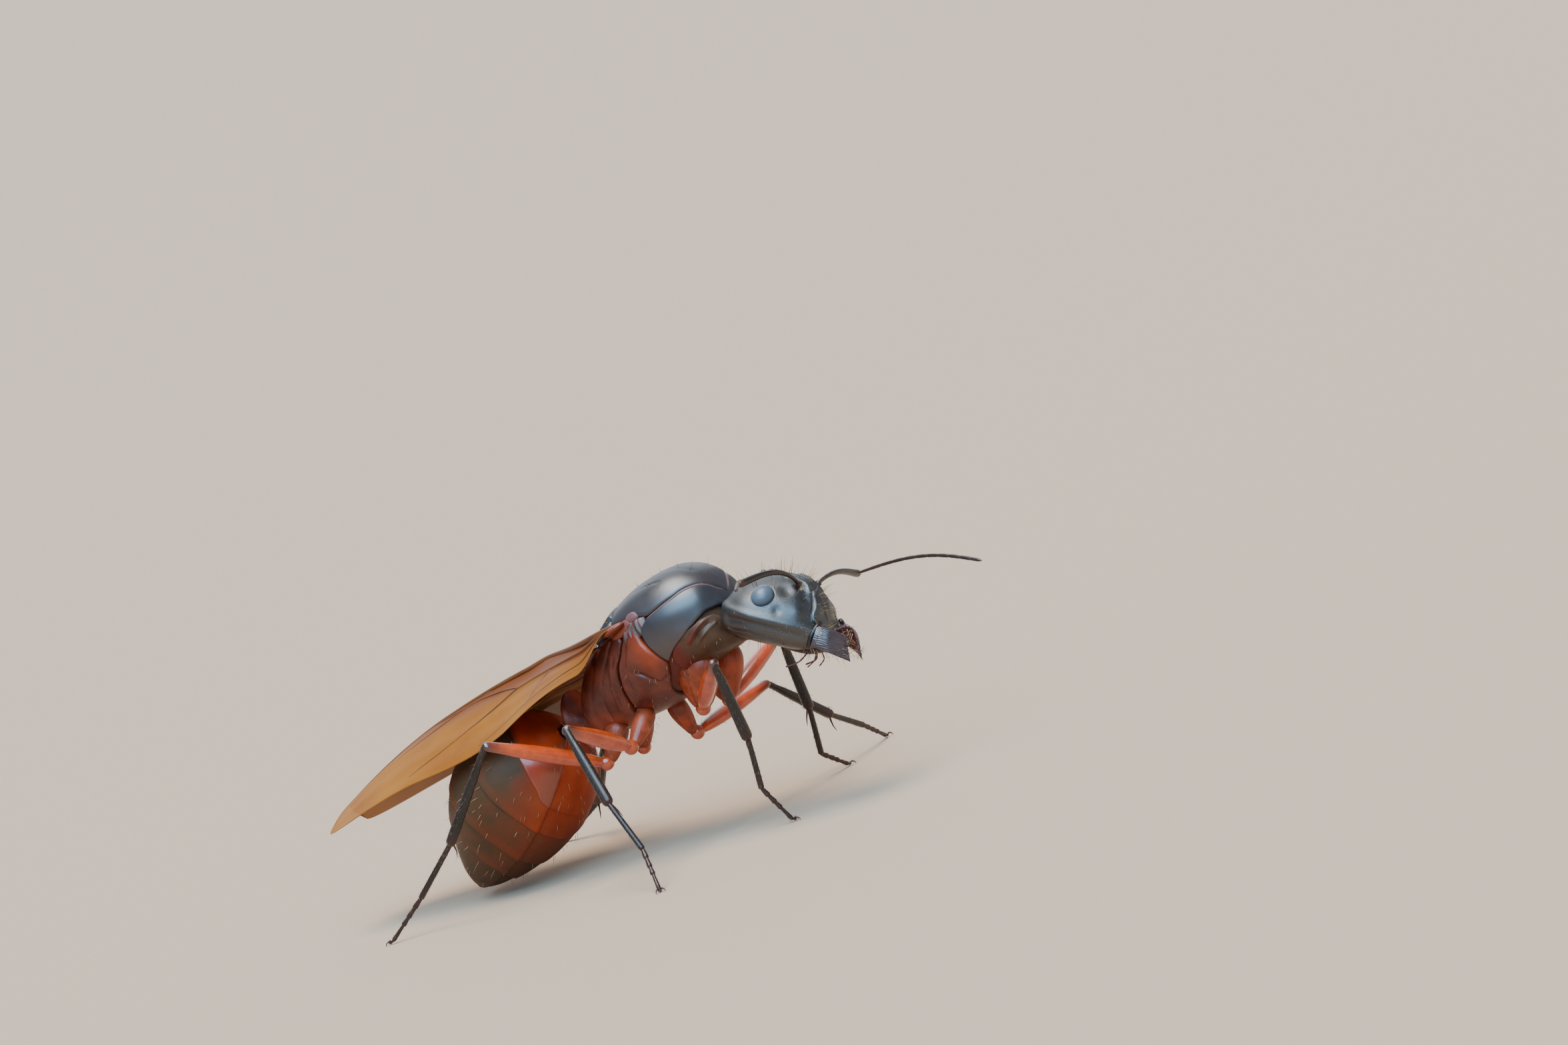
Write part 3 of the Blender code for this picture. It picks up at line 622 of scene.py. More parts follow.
# Strokes on the right of the head: path, height and width.
CHEEK_RIDGE = (
    (-1.01, -1.09, 0.03), (-0.67, -1.34, -0.04), (-0.18, -1.45, -0.07), (0.3, -1.4, -0.08),
    (0.77, -1.23, -0.1), (1.0, -1.09, -0.13), (1.23, -0.91, -0.15), (1.42, -0.73, -0.2))
CHEEK_FURROW = (
    (-0.71, -1.31, -0.3), (-0.36, -1.41, -0.25), (0.05, -1.42, -0.26), (0.56, -1.31, -0.29),
    (0.91, -1.15, -0.34), (1.22, -0.93, -0.38))
THROAT_GROOVE = (
    (-0.78, -1.12, -0.54), (-0.67, -1.13, -0.56), (-0.31, -1.24, -0.53), (-0.02, -1.21, -0.56),
    (0.43, -1.11, -0.59), (0.75, -0.95, -0.65))
FACE_PLATE_SEAM = (
    (0.98, -0.17, 0.71), (1.06, -0.24, 0.59), (1.11, -0.29, 0.51), (1.18, -0.4, 0.36),
    (1.26, -0.55, 0.19), (1.35, -0.57, 0.04), (1.45, -0.48, -0.06))
FACE_PLATE_KEEL = ((1.0, 0, 0.7), (1.18, 0, 0.5), (1.32, 0, 0.3), (1.46, 0, 0.08))
BROW_RIDGE = (
    (0.96, -0.3, 0.66), (0.84, -0.25, 0.8), (0.7, -0.22, 0.88), (0.54, -0.27, 0.93),
    (0.28, -0.33, 0.95))
BROW_FURROW = ((0.95, 0, 0.78), (0.7, 0, 0.92), (0.4, 0, 1.0), (0.0, 0, 1.0))
SOCKET_MIDDLE = tuple(ANTENNA_SOCKET * (1, -1, 1))
HEAD_STROKES = (
    (CHEEK_RIDGE, 0.06, 0.12), (CHEEK_FURROW, -0.06, 0.13), (THROAT_GROOVE, -0.08, 0.035),
    (FACE_PLATE_SEAM, -0.08, 0.04), (((1.24, -0.28, 0.33),), 0.06, 0.22),
    (FACE_PLATE_KEEL, 0.035, 0.05), (BROW_RIDGE, 0.06, 0.07), (BROW_FURROW, -0.02, 0.03),
    ((SOCKET_MIDDLE,), -0.13, 0.12), (((0.98, -0.51, 0.58),), -0.07, 0.15),
    (((0.56, -0.79, 0.69),), -0.07, 0.2), (((0.6, -1.2, 0.2),), -0.05, 0.13),
    (((1.04, -0.89, 0.19),), 0.06, 0.22), (((-0.5, -0.9, 0.7),), 0.025, 0.4),
    (((1.48, -0.7, -0.39),), 0.04, 0.16), (((-0.36, -1.31, 0.23),), 0.03, 0.3),
)


def sunk_for_eyes(points):
    """How deep the skin lies under and round each eye: a bed below the dome, a fine groove at its rim.

    With q the point's distance from the eye's middle in the eye's own semi-axes, the depth is
    EYE_BED where q < 0.8, which fades out at q = 1, and EYE_GROOVE exp(-((q - 1.02) / 0.07)^2).
    """
    depth = 0.0
    for _, _, side in SIDES:
        local = (points - mirrored(EYE_PLACE, side)) @ tilt(0, side * EYE_TILT) / EYE_SEMI_AXES
        inward = np.abs(np.minimum(local[..., 1] * side, 0))
        q = np.linalg.norm(local[..., [0, 2]], axis=-1) + 0.5 * inward
        near = np.linalg.norm(local, axis=-1) < 4.0
        bed = EYE_BED * (1 - ramp((q - 0.8) / 0.2))
        depth = depth + near * (bed + EYE_GROOVE * bell((q - 1.02) / 0.07))
    return depth


def head_skin(rows=300, columns=300):
    """The head capsule as a grid of rings, with its relief."""
    t = np.linspace(0, len(HEAD_STATIONS) - 1, rows)
    x = along_rows(HEAD_STATIONS, t)[:, :1]
    base = head_surface(x, around(columns))
    height = relief(base, HEAD_STROKES) - sunk_for_eyes(base)
    return base + grid_normals(base, True) * height[..., None]


head_rings = head_skin()
# The lower cheeks are mixed towards the marked brown: a painted warm reflection of the floor on the
# down-facing side. The mark also rises on the sides by the jaws.
low_cheek_reflection = ramp((-0.22 - head_rings[..., 2]) / 0.35)
jaw_side = ramp((head_rings[..., 0] - 1.3) / 0.25) * ramp((0.05 - head_rings[..., 2]) / 0.2)
head_mark = np.clip(0.85 * low_cheek_reflection + jaw_side, 0, 1)
add_piece("head_capsule", closed_skin(head_rings, head_mark), HEAD, HEAD_BLACK, "black_shell", "head")

for side_name, tag, side in SIDES:
    dome = ellipsoid(mirrored(EYE_PLACE, side), EYE_SEMI_AXES, 40, 56, turn=tilt(0, side * EYE_TILT))
    add_piece("eye_" + side_name, dome, HEAD, EYE_FINISH, "eye_grey", "eye_" + tag)

OCELLUS_PLACES = ((-0.28, 0, 0.98), (-0.52, 0.2, 0.93), (-0.52, -0.2, 0.93))
ocelli = [ellipsoid(place, (0.07, 0.07, 0.05), 14, 20, 0.6) for place in OCELLUS_PLACES]
add_piece("ocelli", ocelli, HEAD, EYE_FINISH, "eye_grey")


# ---- Jaws and mouth ----
JAW_HINGE = ((1.47, 0.75, -0.58), (1.5, 0.6, -0.04))        # its lower and upper ends
JAW_MARGIN = ((2.36, 0.36, -0.8), (2.14, 0.24, -0.18))      # the toothed edge's two ends
JAW_BOW = 0.17                 # how far the blade's middle stands off the flat, outwards
JAW_TEETH = 4.6                # along the margin
TOOTH_LENGTH, LOWEST_TOOTH = 0.09, 0.02        # and how much longer the lowest is
BLADE_THIN, BLADE_SWELL = 0.03, 0.14   # half its thickness at the margin, and what the hinge adds
JAW_RIDGES, RIDGE_HEIGHT = 12, 0.008
JAW_HINGE_WAY = ((1.52, 0.5, 0.02), (1.52, 0.66, -0.08), (1.47, 0.79, -0.33), (1.42, 0.76, -0.62))
LIP_STATIONS = (
    (1.3, -0.12, -0.35, -0.6, 0.42), (1.5, -0.14, -0.34, -0.55, 0.4), (1.68, -0.22, -0.38, -0.52, 0.3),
    (1.76, -0.3, -0.4, -0.48, 0.15))
CHIN_STATIONS = (
    (0.2, -0.7, -0.8, -0.88, 0.2), (0.6, -0.68, -0.82, -0.93, 0.34), (1.1, -0.62, -0.8, -0.92, 0.34),
    (1.45, -0.54, -0.68, -0.8, 0.24))
# Each palp's root, knee and tip, and its radius.
PALPS = (((1.12, 0.24, -0.86), (1.02, 0.42, -1.1), (0.7, 0.5, -1.3), 0.024),
         ((1.3, 0.14, -0.8), (1.36, 0.24, -1.0), (1.22, 0.3, -1.22), 0.019))


def jaw(side, rows=110, columns=150):
    """A jaw blade: it spans from the hinge to a toothed margin about as deep as the hinge.

    At u from hinge to margin and w from its lower to its upper edge, the blade's middle is the
    bilinear blend of the four corners, bulged outwards by up to JAW_BOW * sin(pi u). The
    cross-section is an ellipse of half thickness BLADE_THIN + BLADE_SWELL (1 - u)^1.3. Near u = 1
    triangular teeth lengthen the blade, the lowest most, and ridges run along the outer face.
    """
    low, high = (mirrored(pair, side) for pair in zip(JAW_HINGE, JAW_MARGIN))
    u = np.linspace(0, 1, rows)[:, None]
    angle = np.radians(around(columns))
    w = 0.5 + 0.5 * np.sin(angle) + 0 * u
    along = unit((low[1] + high[1]) - (low[0] + high[0]))
    outward = unit(np.cross(high[0] - low[0], along)) * side
    tooth = 1 - np.abs(2 * np.mod(JAW_TEETH * w + 0.5, 1.0) - 1)
    reach = (TOOTH_LENGTH * tooth + LOWEST_TOOTH * bell(w / 0.12)) * ramp((u - 0.8) / 0.2)
    half = (BLADE_THIN + BLADE_SWELL * (1 - u) ** 1.3) * np.sqrt(np.clip((1.01 - u) / 0.05, 0, 1))
    ridges = RIDGE_HEIGHT * np.sin(2 * np.pi * (JAW_RIDGES * w + 0.35 * np.sin(9 * u + 5 * w)))
    ridges *= ramp(np.cos(angle) * 3) * ramp(u * 6) * ramp((1 - u) * 12)
    lower = low[0] + (low[1] - low[0]) * u[..., None]
    upper = high[0] + (high[1] - high[0]) * u[..., None]
    middle = lower + (upper - lower) * w[..., None]
    bulge = JAW_BOW * np.sin(np.pi * u) * (0.55 + 0.45 * np.sin(np.pi * w))
    aside = half * np.cos(angle) + bulge + ridges
    rings = middle + along * reach[..., None] + outward * aside[..., None]
    inner_face = ramp(-np.cos(angle) * 3) + 0 * u
    return closed_skin(rings, np.clip(inner_face + ramp((u - 0.8) / 0.2) * (1 - tooth), 0, 1))


for side_name, tag, side in SIDES:
    hinge = tube(smooth_path(mirrored(JAW_HINGE_WAY, side), 24), 0.06, 12)
    add_piece("jaw_" + side_name, jaw(side), HEAD, JAW_FINISH, "jaw_brown", "mandible_" + tag)
    add_piece("jaw_hinge_" + side_name, hinge, HEAD, LEG_DARK, "dark_brown_shell")

lip = closed_skin(rings_over(body_surface(LIP_STATIONS, 2.2), 1.3, 1.76, 20, 32))
chin = closed_skin(rings_over(body_surface(CHIN_STATIONS, 2.2), 0.2, 1.45, 30, 32))
joints = np.abs(np.sin(np.pi * np.linspace(0, 4, 40)))
palps = []
for _, _, side in SIDES:
    for start, knee, end, radius in PALPS:
        way = smooth_path(mirrored([start, knee, end], side), 40)
        palps.append(tube(way, radius * (0.65 + 0.35 * joints ** 0.5), 10, mark=0.5))
add_piece("lip_and_palps", [lip, chin] + palps, HEAD, JOINT_RED, "jaw_brown")


# ---- Feelers ----
SCAPE_LENGTH = 2.75
SCAPE_BOW = {"r": 0.34, "l": 0.2}
FLAGELLUM_LENGTH = 4.1
FLAGELLUM_PIECES = 11
SCAPE_AIM = {"r": (95, 4), "l": (98, 2)}
FLAGELLUM_AIM = {"r": (60, 6), "l": (-9, 16)}
FLAGELLUM_SAG = {"r": 0.05, "l": 0.28}
# Places along each piece and the radii there.
SCAPE_PROFILE = ((0, 0.025, 0.06, 0.14, 0.6, 0.97, 1), (0.08, 0.095, 0.05, 0.055, 0.08, 0.1, 0.085))
FLAGELLUM_PROFILE = ((0, 0.03, 0.1, 0.9, 0.97, 1), (0.03, 0.038, 0.045, 0.05, 0.045, 0.01))
UP = np.array([0, 0, 1.0])


def direction(azimuth, elevation, side):
    """Unit vector at an azimuth from the heading towards a side, and an elevation, in degrees."""
    a, e = np.radians([azimuth, elevation])
    return np.array([np.cos(e) * np.cos(a), side * np.cos(e) * np.sin(a), np.sin(e)])


def beaded(t, pieces, waist):
    """1 along each piece of a jointed limb, and 1 - waist at the joints between."""
    place = t * pieces
    nearest = np.abs(place - np.round(place))
    inner = (np.round(place) > 0) & (np.round(place) < pieces)
    return 1 - waist * inner * bell(nearest / 0.09)


feeler_ways = {}
for side_name, tag, side in SIDES:
    socket = mirrored(ANTENNA_SOCKET, side)
    elbow = socket + direction(*SCAPE_AIM[tag], side) * SCAPE_LENGTH
    t = finer_at_ends(90)
    bow = SCAPE_BOW[tag] * np.sin(np.pi * np.clip(t * 1.05, 0, 1) ** 0.8)
    way = socket + (elbow - socket) * t[:, None] + bow[:, None] * UP
    reach = np.minimum(t, 1 - t) * SCAPE_LENGTH
    radii = np.interp(t, *SCAPE_PROFILE)
    radii *= np.sqrt(1 - (1 - np.clip(reach / 0.08, 0.01, 1)) ** 2)
    ends = np.clip(0.7 * ramp((0.1 - t) / 0.08) + ramp((t - 0.9) / 0.1), 0, 1)
    add_piece("scape_" + side_name, tube(way, radii, 20, mark=ends), HEAD, LEG_DARK,
              "dark_brown_shell", "scape_" + tag)
    aim = direction(*FLAGELLUM_AIM[tag], side)
    s = np.linspace(0, 1, 240)
    sag = FLAGELLUM_SAG[tag] * np.sin(np.pi * s)[:, None] * UP
    lash = elbow + aim * (s * FLAGELLUM_LENGTH)[:, None] + sag
    thickness = np.interp(s, *FLAGELLUM_PROFILE)
    lash_form = tube(lash, thickness * beaded(s, FLAGELLUM_PIECES, 0.16), 16,
                     mark=np.interp(s, (0, 0.2, 0.5), (0.8, 0.4, 0.12)))
    add_piece("flagellum_" + side_name, lash_form, HEAD, LEG_DARK, "dark_brown_shell",
              "flagellum_" + tag)
    feeler_ways[tag] = (way, radii, lash, thickness)


# ---- Mesosoma plates ----
MESOSOMA_STATIONS = (
    (2.5, 0.1, -0.15, -0.5, 0.3),
    (2.3, 0.85, 0.0, -0.62, 0.72),
    (1.95, 1.4, 0.2, -0.7, 1.1),
    (1.3, 1.72, 0.35, -0.85, 1.4),
    (0.5, 1.69, 0.4, -1.25, 1.52),
    (-0.3, 1.47, 0.3, -1.5, 1.5),
    (-1.1, 1.02, 0.1, -1.58, 1.34),
    (-1.9, 0.55, -0.4, -1.68, 1.08),
    (-2.6, -0.15, -0.9, -1.72, 0.8),
    (-2.95, -0.75, -1.1, -1.5, 0.45),
)
MESOSOMA_CORE, GASTER_CORE = 0.09, 0.13        # depths of the soft cores under the plates
mesosoma = body_surface(MESOSOMA_STATIONS, 2.3)
core_rings = shrunk(rings_over(mesosoma, -2.85, 2.42, 80, 90), MESOSOMA_CORE)
neck = tube(smooth_path(((1.9, 0, -0.2), (2.4, 0, -0.28), (2.75, 0, -0.42)), 20),
            np.linspace(0.5, 0.3, 20), 32)
core = closed_skin(core_rings, ramp((0.3 - core_rings[..., 2]) / 0.3))
add_piece("soft_joints", [core, neck], BODY, COLLAR_BROWN, "brown_shell")


def band(surface, lean, front, rear, rows):
    """A grid over a body between two edges, at leans in degrees away from the top.

    An edge is one x for all leans, or (leans, x values) from the top, 0, to the bottom, 180.
    """
    lean = np.reshape(lean, (1, -1))
    folded = np.minimum(np.abs(lean), 360 - np.abs(lean))
    v = np.linspace(0, 1, rows)[:, None]
    x_front, x_rear = (np.interp(folded, *edge) if isinstance(edge, tuple) else edge
                       for edge in (front, rear))
    return surface(x_front + (x_rear - x_front) * v, 90 + lean)


def cap(edge, x_front, x_rear, rows, columns):
    """A grid over the top of the mesosoma between two x values, out to its edge's lean at each x."""
    x = np.linspace(x_front, x_rear, rows)[:, None]
    fine = smooth_path(edge, 120)
    lean = np.interp(x, fine[:, 0], fine[:, 1])
    return mesosoma(x, 90 + lean * np.linspace(-1, 1, columns)[None])


def to_either(points, path):
    """Distance to a path or to its mirror image, whichever is nearer."""
    return np.minimum(distance_to(points, path), distance_to(mirrored(points, -1), path))


def eased(table):
    """Leans and x values of an edge, refilled along smooth curves between the given places."""
    return tuple(smooth_path(table, 60).T)


COLLAR_FRONT = eased((
    (0, 2.46), (30, 2.43), (60, 2.32), (76, 2.15), (86, 1.98), (94, 1.74), (103, 1.5), (112, 1.15),
    (121, 0.8)))
COLLAR_REAR = eased((
    (0, 2.34), (20, 2.26), (41, 1.98), (53, 1.72), (63, 1.46), (71, 1.1), (78, 0.68), (86, 0.46),
    (96, 0.47), (106, 0.6), (121, 0.79)))
COLLAR_STROKES = (
    (((0.9, -1.3, 0.55), (1.5, -1.3, 0.7), (2.0, -0.9, 0.8)), 0.045, 0.28),
    (((0.75, -1.35, -0.1), (1.2, -1.3, 0.2)), 0.02, 0.25),
)
collar_base = band(mesosoma, np.linspace(-121, 121, 300), COLLAR_FRONT, COLLAR_REAR, 110)
collar = plate(collar_base, 0.05, COLLAR_STROKES, 0.12, 0.015)
collar.mark = 0.8 * ramp((0.55 - collar.points[:, 2]) / 0.8)
add_piece("pronotum_collar", collar, BODY, BACK_BLACK, "black_shell", "pronotum")

SCUTUM_EDGE = (
    (-0.56, 61), (-0.1, 66), (0.35, 69), (0.6, 72), (0.8, 74), (1.1, 69.5), (1.5, 60.5), (1.74, 51),
    (2.0, 38.5), (2.2, 25), (2.32, 10), (2.37, 3))
SCUTUM_STROKES = (
    (((-0.4, -0.85, 1.45), (0.6, -0.95, 1.55), (1.1, -0.9, 1.5)), -0.02, 0.05),
    (((1.2, 0, 1.75), (2.2, 0, 1.1)), 0.012, 0.06),
    (((0.7, -0.45, 1.8), (1.8, -0.35, 1.5)), -0.008, 0.1),
)
scutum = plate(cap(SCUTUM_EDGE, 2.37, -0.55, 150, 200), 0.06, SCUTUM_STROKES, 0.12, 0.015)
seam = smooth_path(((2.2, -0.45, 1.1), (1.74, -0.98, 1.2), (1.1, -1.3, 1.0)), 20)
scutum.mark = 0.35 * bell(distance_to(scutum.points, seam) / 0.35)
add_piece("mesoscutum_shield", scutum, BODY, BACK_BLACK, "black_shell", "mesoscutum")

# A thin pale pink tube along the collar's rear rim on each side: a painted highlight, for the light that
# this edge catches.
RIM_HIGHLIGHT_GIRTH = 0.046
rim_highlights = []
lean = np.linspace(2, 77, 90)
for side in (-1, 1):
    line = mesosoma(np.interp(lean, *COLLAR_REAR) + 0.012, 90 + side * lean)
    line = line + 0.02 * unit(line * (0, 1, 1) - (0, 0, 0.4))
    rim_highlights.append(tube(line, RIM_HIGHLIGHT_GIRTH * (0.3 + 0.7 * np.sin(np.pi * np.linspace(0.03, 0.97, 90))), 10))
add_piece("back_rim_highlights", rim_highlights, BODY, RIM_HIGHLIGHT_AND_FOLD_PINK, "red_brown_shell")

SCUTELLUM_EDGE = ((-1.52, 50), (-1.3, 54), (-1.0, 50), (-0.62, 40))
scutellum = plate(cap(SCUTELLUM_EDGE, -0.6, -1.32, 70, 120), 0.13,
                  ((((-1.15, 0, 1.2), (-1.15, -0.6, 1.05)), 0.03, 0.12),), 0.16)
METANOTUM_EDGE = ((-1.6, 58), (-1.36, 60))
metanotum = plate(cap(METANOTUM_EDGE, -1.36, -1.52, 20, 120), 0.02, (), 0.06)
axillae = []
for side in (-1, 1):
    lean = side * np.linspace(43, 60, 40)[None]
    x = np.linspace(-0.62, -1.22, 40)[:, None]
    axillae.append(plate(mesosoma(x, 90 - lean), 0.05, (), 0.1))
add_piece("scutellum_hump", [scutellum, metanotum] + axillae, BODY, BACK_BLACK, "black_shell",
          "scutellum")

# The flank plates run under the body from side to side.
FLANK_FRONT = eased((
    (72, 0.56), (80, 0.34), (90, 0.36), (100, 0.5), (112, 0.66), (122, 0.74), (136, 0.56), (150, 0.26),
    (165, 0.12), (180, 0.08)))
FLANK_REAR = eased((
    (72, -0.1), (80, -0.16), (87, -0.24), (94, -0.48), (101, -0.72), (116, -0.9), (135, -1.0),
    (150, -1.06), (180, -1.1)))
FLANK_STROKES = (
    (((0.5, -1.2, -0.8), (0.26, -1.2, -0.88), (0.07, -1.35, -0.68), (-0.1, -1.42, -0.5),
      (-0.4, -1.5, -0.36)), -0.07, 0.055),
    (((0.33, -1.5, 0.0),), 0.06, 0.35), (((-0.25, -1.3, -1.0),), 0.05, 0.35),
    (((-0.05, -1.5, 0.5), (-0.28, -1.5, 0.1), (-0.5, -1.45, -0.3), (-0.62, -1.3, -0.8)), -0.03, 0.06),
)
FLANK_PATCH = ((0.4, 1.5, 0.1), (0.5, 1.45, -0.2))
flank_base = band(mesosoma, np.linspace(72, 288, 300), FLANK_FRONT, FLANK_REAR, 110)
flank = plate(flank_base, 0.05, FLANK_STROKES, 0.12)
flank.mark = 0.65 * bell(to_either(flank.points, FLANK_PATCH) / 0.34)
add_piece("mesopleuron_flank", flank, BODY, FLANK_RED, "red_brown_shell", "mesopleuron")

RUMP_FRONT = eased((
    (0, -1.54), (40, -1.52), (56, -1.42), (66, -0.95), (74, -0.36), (84, -0.24), (89, -0.31),
    (95, -0.54), (101, -0.78), (116, -0.95), (135, -1.06), (150, -1.12), (180, -1.16)))
RUMP_STROKES = (
    (((-0.65, -1.41, 0.5), (-1.0, -1.3, 0.1), (-1.4, -1.15, -0.3), (-1.75, -1.0, -0.9),
      (-1.95, -0.8, -1.5)), -0.06, 0.06),
    (((-1.15, -1.2, 0.55), (-1.6, -1.1, 0.0), (-2.0, -0.95, -0.5), (-2.3, -0.8, -1.1)), -0.035, 0.07),
    (((-0.9, -1.35, -0.1), (-1.15, -1.25, -0.6), (-1.4, -1.0, -1.2)), 0.035, 0.09),
    (((-0.75, -1.4, 0.1), (-1.0, -1.3, -0.35), (-1.2, -1.15, -1.0)), -0.03, 0.05),
    (((-1.95, -0.95, 0.0), (-2.02, -0.95, -0.14)), -0.06, 0.035),
    (((-1.7, 0, 0.85), (-2.4, 0, 0.1)), -0.02, 0.08),
)
RUMP_RISE, RUMP_DIP = 0.04, 0.06       # its stand above the body's surface, and its edges' depth
rump_base = band(mesosoma, around(260), RUMP_FRONT, -2.93, 120)
rump_height = (RUMP_RISE + RUMP_DIP) * rolled_edge(rump_base, 0.1, True) - RUMP_DIP
rump_height += relief(rump_base, RUMP_STROKES)
rump_rings = rump_base + grid_normals(rump_base, True) * rump_height[..., None]
rump_mark = 0.35 * ramp((-1.0 - rump_rings[..., 2]) / 0.5)
add_piece("propodeum_rump", closed_skin(rump_rings, rump_mark), BODY, FLANK_RED, "red_brown_shell",
          "propodeum")

THROAT_REAR = eased((
    (77, 2.26), (84, 2.1), (90, 1.88), (97, 1.64), (105, 1.4), (113, 1.08), (122, 0.92), (140, 0.9),
    (180, 0.92)))
THROAT_STROKES = (
    (((2.15, -0.75, 0.25), (2.0, -1.05, 0.18), (1.78, -1.2, 0.02), (1.55, -1.25, -0.2)), 0.05, 0.045),
    (((2.2, -0.8, 0.05), (1.95, -1.05, -0.1), (1.75, -1.15, -0.3), (1.6, -1.12, -0.5)), 0.05, 0.045),
    (((2.1, -0.95, 0.1), (1.85, -1.12, -0.05), (1.65, -1.2, -0.3)), -0.04, 0.04),
    (((1.5, 0, -0.85), (2.3, 0, -0.6)), -0.05, 0.05), (((1.75, -0.75, -0.45),), 0.08, 0.35),
)
throat_base = band(mesosoma, np.linspace(77, 283, 240), 2.42, THROAT_REAR, 90)
throat = plate(throat_base, 0.03, THROAT_STROKES, 0.08, 0.02)
fold = to_either(throat.points, THROAT_STROKES[0][0])
throat.mark = np.clip(bell(fold / 0.07) + ramp((1.5 - throat.points[:, 0]) / 0.4), 0, 1)
add_piece("propleuron_throat", throat, BODY, COLLAR_BROWN, "brown_shell", "propleuron")


def sclerite(side, x, lean, reach, girth, rise, mark):
    """A lens on the mesosoma at x and lean degrees from the top, half sunk in it."""
    middle = mesosoma(x, 90 + side * lean)
    ahead = unit(mesosoma(x + 0.05, 90 + side * lean) - middle)
    outward = np.cross(ahead, mesosoma(x, 90 + side * (lean + 2)) - middle)
    outward = unit(outward) * np.sign(outward[1] * side)
    turn = np.stack([ahead, np.cross(outward, ahead), outward], 1)
    return ellipsoid(middle, (reach, girth, rise), mark=mark, turn=turn)


# Sclerites of the wing hinge: x, lean, three semi-axes and mark. Wrinkles below it: x and height.
HINGE_ROWS = (
    (0.3, 67, 0.24, 0.15, 0.085, 0.1), (0.02, 71, 0.24, 0.14, 0.08, 0.6),
    (-0.2, 75, 0.34, 0.14, 0.1, 1.0), (-0.42, 72, 0.16, 0.1, 0.1, 1.0))
WRINKLE_ROWS = ((0.56, 0.03), (0.44, 0.05), (0.31, 0.03), (0.2, 0.055), (0.07, 0.03), (-0.06, 0.045))
hinges, folds = [], []
for _, _, side in SIDES:
    hinges += [sclerite(side, *row) for row in HINGE_ROWS]
    hinges.append(ellipsoid(mirrored((-0.28, 1.58, 0.81), side), (0.36, 0.24, 0.1), mark=1.0,
                            turn=tilt(14)))
    lean = side * np.linspace(71, 90, 60)[None]
    wrinkles = [(mesosoma(x + 0.05 * np.cos(5 * x + np.linspace(0, 3, 8)),
                          90 + side * np.linspace(73, 89, 8)), height, 0.05) for x, height in WRINKLE_ROWS]
    patch = plate(mesosoma(np.linspace(-0.2, 0.66, 90)[:, None], 90 + lean), 0.02, wrinkles, 0.2)
    patch.mark = np.clip(0.5 + 0.5 * np.sin(9 * patch.points[:, 0] + 7 * patch.points[:, 2]), 0, 1)
    folds.append(patch)
add_piece("wing_hinges", hinges, BODY, SCLERITE_PALE, "red_brown_shell")
add_piece("wing_hinge_folds", folds, BODY, RIM_HIGHLIGHT_AND_FOLD_PINK, "red_brown_shell")


# ---- Petiole ----
PETIOLE_STATIONS = (
    (-2.86, -0.98, -1.2, -1.42, 0.26),
    (-3.05, -0.92, -1.15, -1.46, 0.34),
    (-3.24, -0.6, -1.05, -1.52, 0.52),
    (-3.4, -0.3, -0.98, -1.56, 0.66),
    (-3.52, -0.26, -0.96, -1.56, 0.66),
    (-3.64, -0.62, -1.05, -1.5, 0.44),
    (-3.78, -0.9, -1.12, -1.4, 0.26),
)
petiole_t = np.linspace(0, len(PETIOLE_STATIONS) - 1, 70)
petiole_x = along_rows(PETIOLE_STATIONS, petiole_t)[:, :1]
petiole = closed_skin(body_surface(PETIOLE_STATIONS, 2.0)(petiole_x, around(90)), 0.15)
add_piece("petiole_scale", petiole, BODY, FLANK_RED, "red_brown_shell", "petiole")


# ---- Gaster ----
GASTER_STATIONS = (
    (-0.45, 0.25, 0.0, -0.35, 0.35),
    (-0.7, 1.05, 0.1, -0.8, 1.0),
    (-1.1, 1.6, 0.2, -1.2, 1.5),
    (-1.9, 2.05, 0.3, -1.5, 1.9),
    (-2.8, 2.15, 0.3, -1.55, 1.98),
    (-3.7, 1.95, 0.3, -1.35, 1.75),
    (-4.6, 1.45, 0.25, -0.95, 1.25),
    (-5.3, 0.85, 0.2, -0.5, 0.72),
    (-5.7, 0.4, 0.15, -0.15, 0.25),
)
TERGITE_SPAN = 143.0           # the tergites' reach down each side, from the top, in degrees
GASTER_BORDERS = tuple(eased(table) for table in (
    ((0, -0.44), (180, -0.44)),
    ((0, -0.82), (45, -0.8), (69, -0.82), (97, -1.03), (111, -1.2), (124, -1.42), (138, -1.74),
     (180, -2.1)),
    ((0, -2.02), (67, -2.06), (82, -2.13), (97, -2.24), (113, -2.33), (128, -2.43), (142, -2.58),
     (180, -2.9)),
    ((0, -3.26), (79, -3.3), (92, -3.31), (104, -3.36), (125, -3.53), (143, -3.75), (180, -4.0)),
    ((0, -4.05), (93, -4.1), (106, -4.2), (138, -4.46), (180, -4.9)),
    ((0, -5.68), (180, -5.68)),
))                             # x of each border by the angle from the top
GASTER_OVERLAP = 0.12          # how far a segment's rear edge passes over the next one's front
SHEET_SINK, SHEET_SLANT = 0.03, 0.05   # a sheet's depth at its front, and its rise to the rear
SHEET_WALL = 0.09              # depth of its inner wall
gaster_surface = body_surface(GASTER_STATIONS, 2.0)


